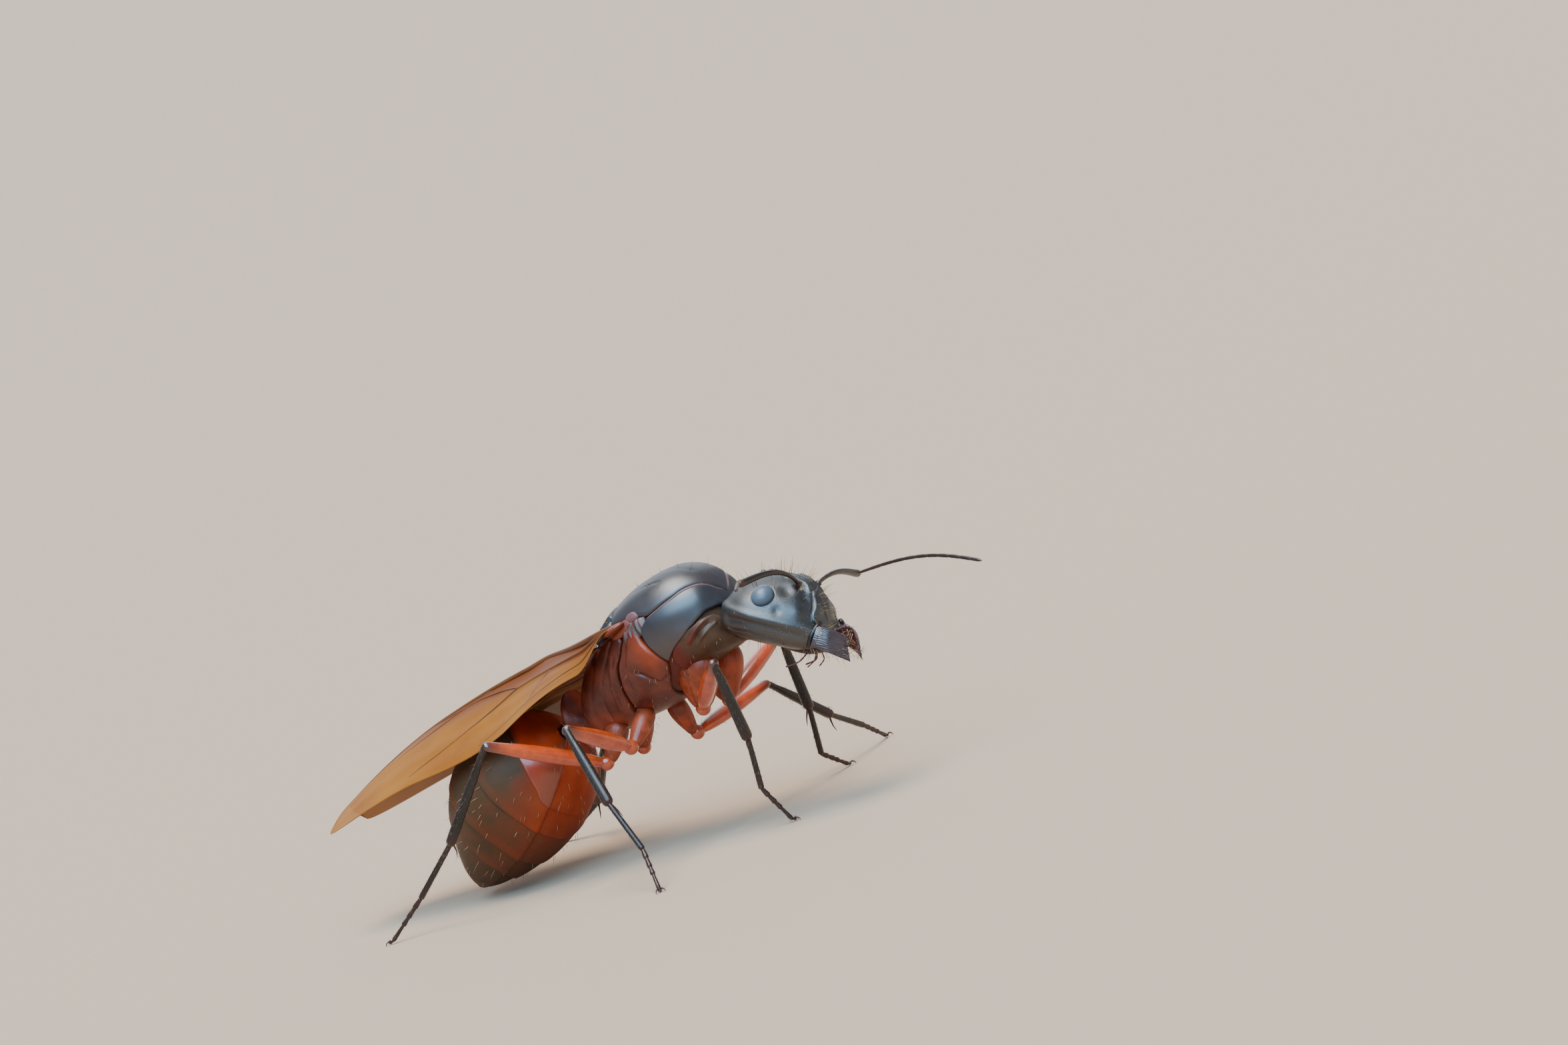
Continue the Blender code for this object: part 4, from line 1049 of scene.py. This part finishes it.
def gaster_band(k, centre, span, sunk, rows=60, columns=160):
    """The segment k's tergite or sternite: an arched band, proud of the band behind it.

    Its height above the body goes from -sunk - SHEET_SINK at the front up by SHEET_SLANT to the
    rear, and its edges roll down by as much. It reaches back past its border by GASTER_OVERLAP.
    """
    lean = np.linspace(-span, span, columns)[None]
    v = np.linspace(0, 1, rows)[:, None]
    leans, x_rear = GASTER_BORDERS[k + 1]
    rear = (leans, x_rear - (GASTER_OVERLAP if k < 4 else 0))
    base = band(gaster_surface, centre - 90 + lean, GASTER_BORDERS[k], rear, rows)
    normals = grid_normals(base, False)
    height = SHEET_SLANT * (v - 1 + rolled_edge(base, 0.06, False)) - SHEET_SINK - sunk
    return base + normals * height[..., None], base - normals * (SHEET_WALL + sunk), v, lean


gaster_core = shrunk(rings_over(gaster_surface, -5.6, -0.5, 70, 90), GASTER_CORE)
waist = tube(smooth_path(((-0.75, 0, 0.0), (-0.4, 0, -0.05), (-0.16, 0, -0.1)), 16), 0.2, 24)
add_piece("gaster_soft_joints", [closed_skin(gaster_core), waist], GASTER, JOINT_RED,
          "dark_brown_shell")

GASTER_FADE = (1.0, 0.74, 0.32, 0.12, 0.04)        # how red each segment is, from the front
sternites = []
for k in range(5):
    outer, inner, v, lean = gaster_band(k, 90, TERGITE_SPAN, 0.0)
    if k == 0:
        mark = 0.8 * ramp((v - 0.75) / 0.25) * ramp((125 - abs(lean)) / 50)
        # Its lower sides go towards the marked dark brown: painted shade on the down-facing flanks.
        mark = mark + 0.6 * ramp((abs(lean) - 95) / 40)
    else:
        mark = 1 - 0.9 * GASTER_FADE[k] * ramp((abs(lean) - 84 - 10 * v) / 56)
        mark = mark * (1 - 0.14 * bell((v - 0.85) / 0.1))
    add_piece("tergite_%d" % (k + 1), walled(outer, inner, mark), GASTER,
              GASTER_RED if k == 0 else GASTER_BLEND,
              "orange_red_shell" if k == 0 else "dark_brown_shell", "gaster_%d" % (k + 1))
    outer, inner, v, lean = gaster_band(k, -90, 186 - TERGITE_SPAN, 0.05, 50, 90)
    sternites.append(walled(outer, inner, 1 - GASTER_FADE[k] * (1 - 0.3 * v) + 0 * lean))
sternites.append(ellipsoid((-5.58, 0, 0.05), (0.2, 0.35, 0.19), mark=0.95))
add_piece("sternites", sternites, GASTER, GASTER_BLEND, "orange_red_shell")


# ---- Legs ----
COXA_PROFILE = (0.29, 0.37, 0.38, 0.33, 0.25, 0.18)
FEMUR_PROFILE = (0.13, 0.2, 0.235, 0.245, 0.235, 0.21, 0.17, 0.15)
TIBIA_PROFILE = (0.1, 0.1, 0.125, 0.14, 0.145, 0.15, 0.155, 0.15)
TARSUS_PROFILE = (0.07, 0.075, 0.078, 0.08)
RING_PROFILE = (0.17, 0.2, 0.19, 0.15)         # the trochanter's ring, round the femur's root
TOE_PROFILE = (
    (0, 0.02, 0.2, 0.24, 0.42, 0.46, 0.6, 0.64, 0.94, 1),
    (0.02, 0.055, 0.075, 0.05, 0.072, 0.048, 0.07, 0.042, 0.06, 0.03))
COXA_MARK = (0.5, 0.25, 0.1, 0.15, 0.5)        # marks at even steps from root to tip
FEMUR_MARK = (0.1, 0, 0, 0, 0, 0, 0, 0.05, 0.55, 0.95)
TIBIA_MARK = (0.35, 0.1, 0, 0, 0, 0, 0, 0, 0.15, 0.6)
TARSUS_MARK = (0.4, 0.1, 0.05, 0.1, 0.2)
SPUR_LENGTH = 0.42
SPUR_RADII, CLAW_RADII = (0.03, 0.006), (0.032, 0.006)     # at root and tip
# A claw's places: ahead of the toe, aside from its line, and above it. The tip stands by itself.
CLAW_PLACES = np.array([(0.02, 0, 0), (0.09, 0.06, 0.035), (0.15, 0.11, 0), (0.17, 0.13, 0)])
CLAW_TIP_HEIGHT = 0.012        # above the floor
leg_ways = []


def leg_joints(pair, tag, side):
    """A leg's joints in the row's frame, from its root to the tip of its tarsus."""
    joints = [placed(mirrored(LEG_ROOTS[pair], side), BODY)]
    for length, aim in zip(LEG_LENGTHS[pair], LEG_POSE[pair + "_" + tag]):
        if len(aim) == 2:
            elevation = aim[1]
        else:
            elevation = -np.degrees(np.arcsin((joints[-1][2] - FOOT_HEIGHT) / length))
        joints.append(joints[-1] + length * direction(aim[0], elevation, side))
    return joints


def claws(toe, way):
    """Two curved claws and the pad between them, at a toe that points along way."""
    flat = unit(way * (1, 1, 0) + (1e-6, 0, 0))
    aside = np.cross(flat, (0, 0, 1.0))
    forms = []
    for turn in (-1, 1):
        ahead, out, above = CLAW_PLACES.T[..., None]
        spread = toe + ahead * flat + turn * out * aside + above * UP
        spread[-1, 2] = CLAW_TIP_HEIGHT
        forms.append(tube(smooth_path(spread, 16), np.linspace(*CLAW_RADII, 16), 8, mark=0.7))
    forms.append(ellipsoid(toe + flat * 0.06 - (0, 0, 0.01), (0.05, 0.05, 0.035), 8, 12, 0.6))
    return forms


for pair in LEG_LENGTHS:
    for side_name, tag, side in SIDES:
        hip, trochanter, knee, heel, ankle, toe = leg_joints(pair, tag, side)
        label = pair + "_" + side_name
        bend = unit(np.cross(knee - trochanter, heel - knee))
        root = hip + BODY_AXES @ mirrored(COXA_TUCK[pair], side)
        coxa = limb(root, trochanter, [r * COXA_SCALE[pair] for r in COXA_PROFILE], 70, 36,
                    COXA_FLAT[pair], BODY_AXES[:, 0], COXA_MARK)
        # Each piece runs on a little past its joints, so that no gap shows.
        thigh = unit(knee - trochanter)
        ring = limb(trochanter - thigh * 0.12, trochanter + thigh * 0.3, RING_PROFILE, 30, 28, mark=(0.15,))
        femur = limb(trochanter + thigh * 0.12, knee + thigh * 0.08, FEMUR_PROFILE, 90, 32, 0.8, bend,
                     FEMUR_MARK)
        shin = unit(heel - knee)
        tibia = limb(knee - shin * 0.06, heel + shin * 0.03, TIBIA_PROFILE, 90, 28, 0.85, bend, TIBIA_MARK)
        sole = -unit(np.cross(shin, bend))
        if np.dot(sole, trochanter - knee) < 0:
            sole = -sole
        spur_root = heel - shin * 0.02 + sole * 0.1
        spur_tip = spur_root + unit(shin * 0.85 + sole * 0.5) * SPUR_LENGTH
        spur_way = smooth_path((spur_root, (spur_root + spur_tip) / 2 + sole * 0.03, spur_tip), 24)
        spur = tube(spur_way, np.linspace(*SPUR_RADII, 24), 10, mark=1.0)
        foot = unit(ankle - heel)
        base = limb(heel - foot * 0.04, ankle + foot * 0.03, TARSUS_PROFILE, 70, 18, mark=TARSUS_MARK)
        s = np.linspace(0, 1, 140)
        toes = tube(ankle + (toe - ankle) * s[:, None], np.interp(s, *TOE_PROFILE), 16, mark=0.35)
        for name, forms, finish, slot in (
                ("coxa_", [coxa], COXA_ORANGE, "orange_red_shell"),
                ("femur_", [ring, femur], LEG_ORANGE, "orange_red_shell"),
                ("tibia_", [tibia, spur], LEG_DARK, "dark_brown_shell"),
                ("tarsus_", [base, toes] + claws(toe, toe - ankle), LEG_DARK, "dark_brown_shell")):
            add_piece(name + label, forms, None, finish, slot, name + pair + "_" + tag)
        leg_ways.append((hip, trochanter, knee, heel, ankle, toe))


# ---- Wings ----
WING_FOLD_REACH = 7.0          # distance behind the hinge over which a wing sinks to the roof
TIP_START = 0.8                # share of the length at which the round tip begins
ROOF_DROP = 1.44               # fall of the folded wings from the ridge to ROOF_HALF_WIDTH
ROOF_HALF_WIDTH = 2.2
WING_ARCH, ARCH_START = 0.25, 0.35     # rise of the ridge's outer part, and where it begins
WING_FLAP, FLAP_PLACE, FLAP_SPREAD = 0.25, 0.4, 0.16       # share of the droop, and where in s
RIPPLE = 0.006                 # height of the membrane's ripples
FORE_WING = {"root": (-0.3, 1.8, 0.85), "length": 11.6, "chord": 2.4, "bow": 0.5,
             "below": 0.0, "inner": 0.06, "droop": 0.75}
HIND_WING = {"root": (-0.9, 1.7, 0.5), "length": 6.0, "chord": 1.3, "bow": 0.0,
             "below": 0.5, "inner": 0.5, "droop": 0.2}
MEMBRANE = 0.016               # the membrane's thickness


def wing_point(size, side, s, c):
    """Place on a folded wing, s from its root to its tip and c from its outer edge to the ridge.

    The chord opens from 0.12 of its size at the root to all of it at s = 0.38.
    The ridge sinks rearward as 1 - 0.06 |x| - 0.01 x^2 and is arched up by WING_ARCH
    sin(pi (s - ARCH_START) / (1 - ARCH_START)). The wing falls away from it by
    ROOF_DROP * (|y| / ROOF_HALF_WIDTH)^1.3, once it has left the height of its root. Until then
    its outer edge hangs beside the body by its droop, and by WING_FLAP of it near FLAP_PLACE.
    """
    s, c = np.broadcast_arrays(np.asarray(s, float), np.asarray(c, float))
    root_x, root_y, root_z = size["root"]
    x = root_x - size["length"] * s
    tip = np.sqrt(np.clip(1 - (np.maximum(s - TIP_START, 0) / (1 - TIP_START)) ** 2, 0, 1))
    chord = size["chord"] * (0.12 + 0.88 * ramp(s / 0.38)) * tip
    outer = root_y + size["bow"] * np.sin(np.pi * s) - 0.7 * s * s - 0.25 * (1 - tip)
    across = np.maximum(outer - chord * c, size["inner"] + 0.02 * (1 - c))
    arch = WING_ARCH * np.sin(np.pi * np.clip((s - ARCH_START) / (1 - ARCH_START), 0, 1))
    ridge = 1.0 - 0.06 * np.abs(x) - 0.01 * x * x + arch
    height = ridge - ROOF_DROP * (np.abs(across) / ROOF_HALF_WIDTH) ** 1.3
    spread = ramp((root_x - x) / WING_FOLD_REACH)
    hang = ramp(s / 0.12) * (1 - spread) + WING_FLAP * bell((s - FLAP_PLACE) / FLAP_SPREAD)
    below = size["below"] * ramp(s / 0.6) + size["droop"] * (1 - c) * hang
    return np.stack([x, side * across, root_z + (height - root_z) * spread - below], -1)


def membrane(size, side, rows=200, columns=60):
    """The wing's sheet, with ripples RIPPLE * sin(2 pi (4.2 c + 1.5 s)) between its veins."""
    s = finer_at_ends(rows)[:, None]
    c = np.linspace(0, 1, columns)[None]
    sheet = wing_point(size, side, s, c)
    normals = grid_normals(sheet, False)
    ripple = RIPPLE * np.sin(2 * np.pi * (c * 4.2 + s * 1.5)) * ramp(s * 5)
    sheet = sheet + normals * ripple[..., None]
    mark = np.clip(ramp((c - 0.42) / 0.38) * (1 - 0.6 * ramp((s - 0.7) / 0.3))
                   + 0.45 * (1 - ramp(s / 0.5)), 0, 1)
    return walled(sheet + normals * MEMBRANE / 2, sheet - normals * MEMBRANE / 2, mark)


def vein(size, side, route, thick, thin):
    """A vein along a route of (s, c) places, tapering from thick to thin."""
    fine = smooth_path(route, 20 * len(route))
    way = wing_point(size, side, np.clip(fine[:, 0], 0, 1), np.clip(fine[:, 1], 0, 1))
    return tube(way, np.linspace(thick, thin, len(way)), 10, mark=np.linspace(0.0, 0.5, len(way)))


FORE_VEINS = (
    (((0.0, 0.95), (0.1, 0.97), (0.3, 0.985), (0.5, 0.985), (0.66, 0.985), (0.76, 0.98)), 0.11, 0.02),
    (((0.62, 0.96), (0.67, 0.955), (0.72, 0.96)), 0.04, 0.03),
    (((0.7, 0.98), (0.8, 0.975), (0.9, 0.96), (0.97, 0.8)), 0.03, 0.012),
    (((0.0, 0.8), (0.12, 0.72), (0.25, 0.66), (0.36, 0.62)), 0.06, 0.045),
    (((0.36, 0.62), (0.42, 0.72), (0.5, 0.78), (0.56, 0.76), (0.66, 0.62), (0.8, 0.5), (0.93, 0.42)),
     0.04, 0.012),
    (((0.36, 0.62), (0.44, 0.46), (0.56, 0.28), (0.68, 0.12)), 0.04, 0.014),
    (((0.42, 0.97), (0.47, 0.86), (0.52, 0.79)), 0.04, 0.03),
    (((0.56, 0.76), (0.66, 0.78), (0.76, 0.84), (0.86, 0.95)), 0.035, 0.012),
    (((0.67, 0.93), (0.67, 0.86), (0.66, 0.78)), 0.02, 0.03),
    (((0.0, 0.5), (0.12, 0.34), (0.28, 0.2), (0.44, 0.08)), 0.04, 0.015),
    (((0.24, 0.66), (0.27, 0.42), (0.29, 0.2)), 0.03, 0.025),
)
HIND_VEINS = (
    (((0.0, 0.9), (0.2, 0.95), (0.5, 0.96), (0.75, 0.95)), 0.06, 0.02),
    (((0.0, 0.6), (0.3, 0.55), (0.55, 0.5), (0.85, 0.5)), 0.04, 0.012),
    (((0.0, 0.3), (0.3, 0.25), (0.6, 0.1)), 0.035, 0.012),
)
for side_name, tag, side in SIDES:
    for name, size, veins in (("fore_wing_", FORE_WING, FORE_VEINS), ("hind_wing_", HIND_WING, HIND_VEINS)):
        add_piece(name + "membrane_" + side_name, membrane(size, side), BODY, WING_AMBER, "amber_wing",
                  name + tag)
        ribs = [vein(size, side, *one) for one in veins]
        add_piece(name + "veins_" + side_name, ribs, BODY, VEIN_RUST, "amber_wing")


# ---- Hairs ----
random = np.random.default_rng(7)
HAIR_PATCH = 0.003             # a hair's patch on its skin's unwrap
ROOT_DEPTH = 0.015             # how far a hair's root lies under its skin
# Areas (left, low, width, height) of the unwraps.
CAPSULE_AREA, BACK_AREA, GASTER_AREA = (0, 0, 0.75, 0.996), (0, 0, 0.48, 0.99), (0.5, 0, 0.49, 0.99)


def hairs(roots, ways, lengths, thick, bends, places, mark):
    """Curved hairs as one form: three rings of three points each, then a tip.

    At s from 0 to 1 along a hair of length L its middle is root + way L s + bend L s^2, and its
    radius is thick (1 - s). Its place is its root's on the unwrap of the skin; its points fill a
    patch HAIR_PATCH across there.
    """
    count = len(roots)
    ways = unit(ways)
    aside = unit(np.cross(ways, (0.31, 0.42, 0.85)))
    over = np.cross(ways, aside)
    s = np.array([0.0, 0.35, 0.7])[None, :, None]
    length = lengths[:, None, None]
    middle = roots[:, None] + ways[:, None] * length * s + bends[:, None] * length * s * s
    angle = 2 * np.pi * np.arange(3)[None, :, None] / 3
    spokes = np.cos(angle) * aside[:, None] + np.sin(angle) * over[:, None]
    rings = middle[:, :, None] + spokes[:, None] * (thick * (1 - s))[..., None]
    tips = roots + (ways + bends) * lengths[:, None]
    points = np.concatenate([rings.reshape(count, 9, 3), tips[:, None]], 1)
    first = 10 * np.arange(count)[:, None, None]
    sides = np.array([(3 * r + k, 3 * r + (k + 1) % 3, 3 * r + 3 + (k + 1) % 3, 3 * r + 3 + k)
                      for r in range(2) for k in range(3)])
    ends = np.array([(6 + k, 6 + (k + 1) % 3, 9) for k in range(3)] + [(0, 2, 1)])
    spread = HAIR_PATCH * np.array([(k / 2, r / 3) for r in range(3) for k in range(3)] + [(0.5, 1.0)])
    place = (places[:, None] + spread[None]).reshape(-1, 2)
    faces = [(sides + first).reshape(-1, 4), (ends + first).reshape(-1, 3)]
    return Form(points, faces, mark, place=place).outward()


def in_area(across, along, area):
    """Places in an area (left, low, width, height) of the unwrap, which lies in the unit square."""
    return np.stack([area[0] + area[2] * across, area[1] + area[3] * along], -1)


def skin_hairs(rings, area, keep, count, lengths, lift, sweep, thick=0.0085, mark=0.0):
    """Hairs at random spots of a skin of rings where keep, an array over the rings, is true.

    A hair leaves along lift * normal + sweep + a jitter, and bends on along its sweep.
    """
    rows, columns = np.nonzero(keep)
    chosen = random.choice(len(rows), count)
    rows, columns = rows[chosen], columns[chosen]
    normals = grid_normals(rings, True)[rows, columns]
    ways = lift * normals + np.asarray(sweep) + random.normal(0, 0.2, normals.shape)
    bends = 0.3 * np.asarray(sweep) + random.normal(0, 0.1, normals.shape)
    places = in_area(columns / rings.shape[1], rows / rings.shape[0], area)
    return hairs(rings[rows, columns] - normals * ROOT_DEPTH, ways, random.uniform(*lengths, count),
                 thick, bends, places, mark)


def limb_hairs(path, radii, count, lengths, lean, area, thick, mark):
    """Hairs all round a limb of the given radii, which lean along it by lean degrees."""
    s = random.uniform(0.02, 0.98, count) * (len(path) - 1)
    i = s.astype(int)
    along = unit(path[i + 1] - path[i])
    middle = path[i] + (path[i + 1] - path[i]) * (s - i)[:, None]
    first = unit(np.cross(along, (0.3, 0.5, 0.8)))
    angle = random.uniform(0, 2 * np.pi, count)[:, None]
    aside = np.cos(angle) * first + np.sin(angle) * np.cross(along, first)
    girth = np.interp(s, np.linspace(0, len(path) - 1, len(radii)), radii)[:, None]
    a = np.radians(lean)
    ways = aside * np.cos(a) + along * np.sin(a) + random.normal(0, 0.1, aside.shape)
    places = in_area(angle[:, 0] / (2 * np.pi), s / len(path), area)
    lengths = random.uniform(*lengths, count) + 0.12 * girth[:, 0]
    return hairs(middle + aside * girth * 0.82, ways, lengths, thick, along * 0.15, places, mark)


x, y, z = np.moveaxis(head_rings, -1, 0)
# Where each coat grows, how many hairs, their lengths, lift and sweep, and their width and mark.
HEAD_COATS = (
    ((z > 0.5) & (abs(y) < 1.0) & (abs(x - 0.075) < 1.025), 64, (0.25, 0.62), 1.0, (0.12, 0, 0.1)),
    ((x > 0.95) & (abs(y) < 0.6) & (z > -0.35), 30, (0.15, 0.42), 1.0, (0.3, 0, 0.15)),
    ((abs(y) > 0.5) & (abs(z - 0.05) < 0.55) & (x > -0.9), 180, (0.05, 0.1), 0.35, (0.5, 0, -0.1),
     0.007),
    ((z < -0.7) & (x > -0.3), 30, (0.2, 0.45), 1.0, (0.15, 0, -0.2), 0.008, 0.4),
)
head_forms = [skin_hairs(head_rings, CAPSULE_AREA, *row) for row in HEAD_COATS]
for k, (_, _, side) in enumerate(SIDES):
    low, high = (mirrored(pair, side) for pair in zip(JAW_HINGE, JAW_MARGIN))
    edges = ((low[0], low[1], 26), (high[0], high[1], 12), (low[1], high[1], 14))
    for n, (start, end, count) in enumerate(edges):
        head_forms.append(limb_hairs(np.linspace(start, end, 20), (0.09, 0.05), count, (0.12, 0.3), 35,
                                     (0.76 + 0.04 * n + 0.12 * k, 0.0, 0.036, 0.996), 0.008, 0.2))
add_piece("head_hairs", head_forms, HEAD, HAIR_GOLD)

feeler_forms = []
for k, tag in enumerate("rl"):
    way, radii, lash, thickness = feeler_ways[tag]
    rows = ((way, radii, 90, (0.04, 0.09), 55), (lash, thickness, 260, (0.02, 0.045), 60))
    for n, row in enumerate(rows):
        area = (0.5 * k + 0.25 * n, 0, 0.24, 0.99)
        feeler_forms.append(limb_hairs(*row, area, 0.006 - 0.001 * n, 0.3))
add_piece("feeler_hairs", feeler_forms, HEAD, HAIR_GOLD)

back_rings = shrunk(rings_over(mesosoma, -1.2, 2.2, 90, 120), -0.05)
x, y, z = np.moveaxis(back_rings, -1, 0)
back_hairs = skin_hairs(back_rings, BACK_AREA, (z > 0.75) & (abs(y) < 1.25), 34, (0.12, 0.3), 1.0,
                        (-0.1, 0, 0.1)).moved(BODY)
side_hairs = skin_hairs(back_rings, BACK_AREA, (z < -0.3) & (abs(y) > 0.4), 60, (0.08, 0.18), 0.8,
                        (0, 0, -0.3), 0.007).moved(BODY)
belly_rings = rings_over(gaster_surface, -5.3, -0.8, 120, 120)
gaster_hairs = skin_hairs(belly_rings, GASTER_AREA, belly_rings[..., 0] < -0.8, 170, (0.12, 0.26), 0.8,
                          (-0.7, 0, 0), 0.008).moved(GASTER)
add_piece("body_hairs", [back_hairs, side_hairs, gaster_hairs], None, HAIR_GOLD)

leg_forms = []
for k, (hip, trochanter, knee, heel, ankle, toe) in enumerate(leg_ways):
    for n, (start, end, radii, count, lengths, lean, mark) in enumerate((
            (hip, trochanter, COXA_PROFILE, 14, (0.06, 0.14), 30, 0.2),
            (trochanter, knee, FEMUR_PROFILE[1:], 26, (0.06, 0.14), 45, 0.1),
            (knee, heel, TIBIA_PROFILE, 130, (0.06, 0.13), 48, 0.9),
            (heel, ankle, TARSUS_PROFILE, 90, (0.05, 0.1), 50, 0.7),
            (ankle, toe, (0.06, 0.06), 60, (0.04, 0.08), 50, 0.7))):
        leg_forms.append(limb_hairs(np.linspace(start, end, 30), radii, count, lengths, lean,
                                    (k / 6 + n / 30, 0, 0.03, 0.99), 0.006, mark))
add_piece("leg_hairs", leg_forms, None, HAIR_GOLD)


# ---- Floor, light and camera ----
CAMERA_TURN = 34.23            # degrees from looking straight across the body towards its head
CAMERA_RISE = 6.25             # degrees above the floor's level
CAMERA_BANK = 20.13            # degrees that the camera leans
CAMERA_DISTANCE = 202.8
CAMERA_AIM = (3.034, 3.121)    # middle of the view, right of and above the mesosoma's middle
FLOOR_HALF = 4.0               # metres


def camera_axes():
    """Right, up and backward of the camera."""
    turn, rise, bank = np.radians([CAMERA_TURN, CAMERA_RISE, CAMERA_BANK])
    right = np.array([np.cos(turn), np.sin(turn), 0])
    up = np.array([-np.sin(turn) * np.sin(rise), np.cos(turn) * np.sin(rise), np.cos(rise)])
    back = np.cross(right, up)
    return (np.cos(bank) * right - np.sin(bank) * up, np.sin(bank) * right + np.cos(bank) * up, back)


def set_axes(item, right, up, back, place):
    """Place an object with its X, Y and Z along right, up and back."""
    matrix = item.matrix_world.copy()
    for row in range(3):
        matrix[row] = (right[row], up[row], back[row], place[row] * MM)
    item.matrix_world = matrix


def soft_sun(name, place, strength, width, colour):
    """A far, wide lamp that shines from a place on the ant; width is its angle across, in degrees."""
    data = bpy.data.lights.new(name, "SUN")
    data.angle, data.energy, data.color = np.radians(width), strength, colour
    back = unit(np.asarray(place, float))
    right = unit(np.cross((0.0, 0.0001, 1.0), back))
    set_axes(stand(name, data), right, np.cross(back, right), back, place)


floor_mesh = bpy.data.meshes.new("studio_floor")
floor_corners = FLOOR_HALF * np.array([(-1, -1, 0), (1, -1, 0), (1, 1, 0), (-1, 1, 0)])
floor_mesh.from_pydata(floor_corners.tolist(), [], [(0, 1, 2, 3)])
floor_mesh.materials.append(principled(
    "studio_floor_pale", Base_Color=(0.42, 0.29, 0.195), Roughness=0.9)[0])
stand("studio_floor", floor_mesh)

world = bpy.data.worlds.new("studio_air")
bpy.context.scene.world = world
world.use_nodes = True
air = world.node_tree.nodes["Background"].inputs
air["Color"].default_value = (0.95, 0.95, 1.0, 1.0)
air["Strength"].default_value = 0.38
soft_sun("overhead_softbox", (0, -10, 105), 4.5, 36, (1.0, 0.94, 0.86))
soft_sun("front_softbox", (40, -75, 88), 7.0, 56, (0.36, 0.68, 1.0))
soft_sun("rear_softbox", (-90, 120, 90), 0.8, 50, (0.80, 0.90, 1.0))

right, up, back = camera_axes()
aim = body_origin + CAMERA_AIM[0] * right + CAMERA_AIM[1] * up
camera_data = bpy.data.cameras.new("camera")
camera_data.lens = 180.0
camera_data.sensor_width = 36.0
camera_data.clip_start = 0.01
camera_data.clip_end = 20.0
camera = stand("camera", camera_data)
set_axes(camera, right, up, back, aim + back * CAMERA_DISTANCE)
bpy.context.scene.camera = camera
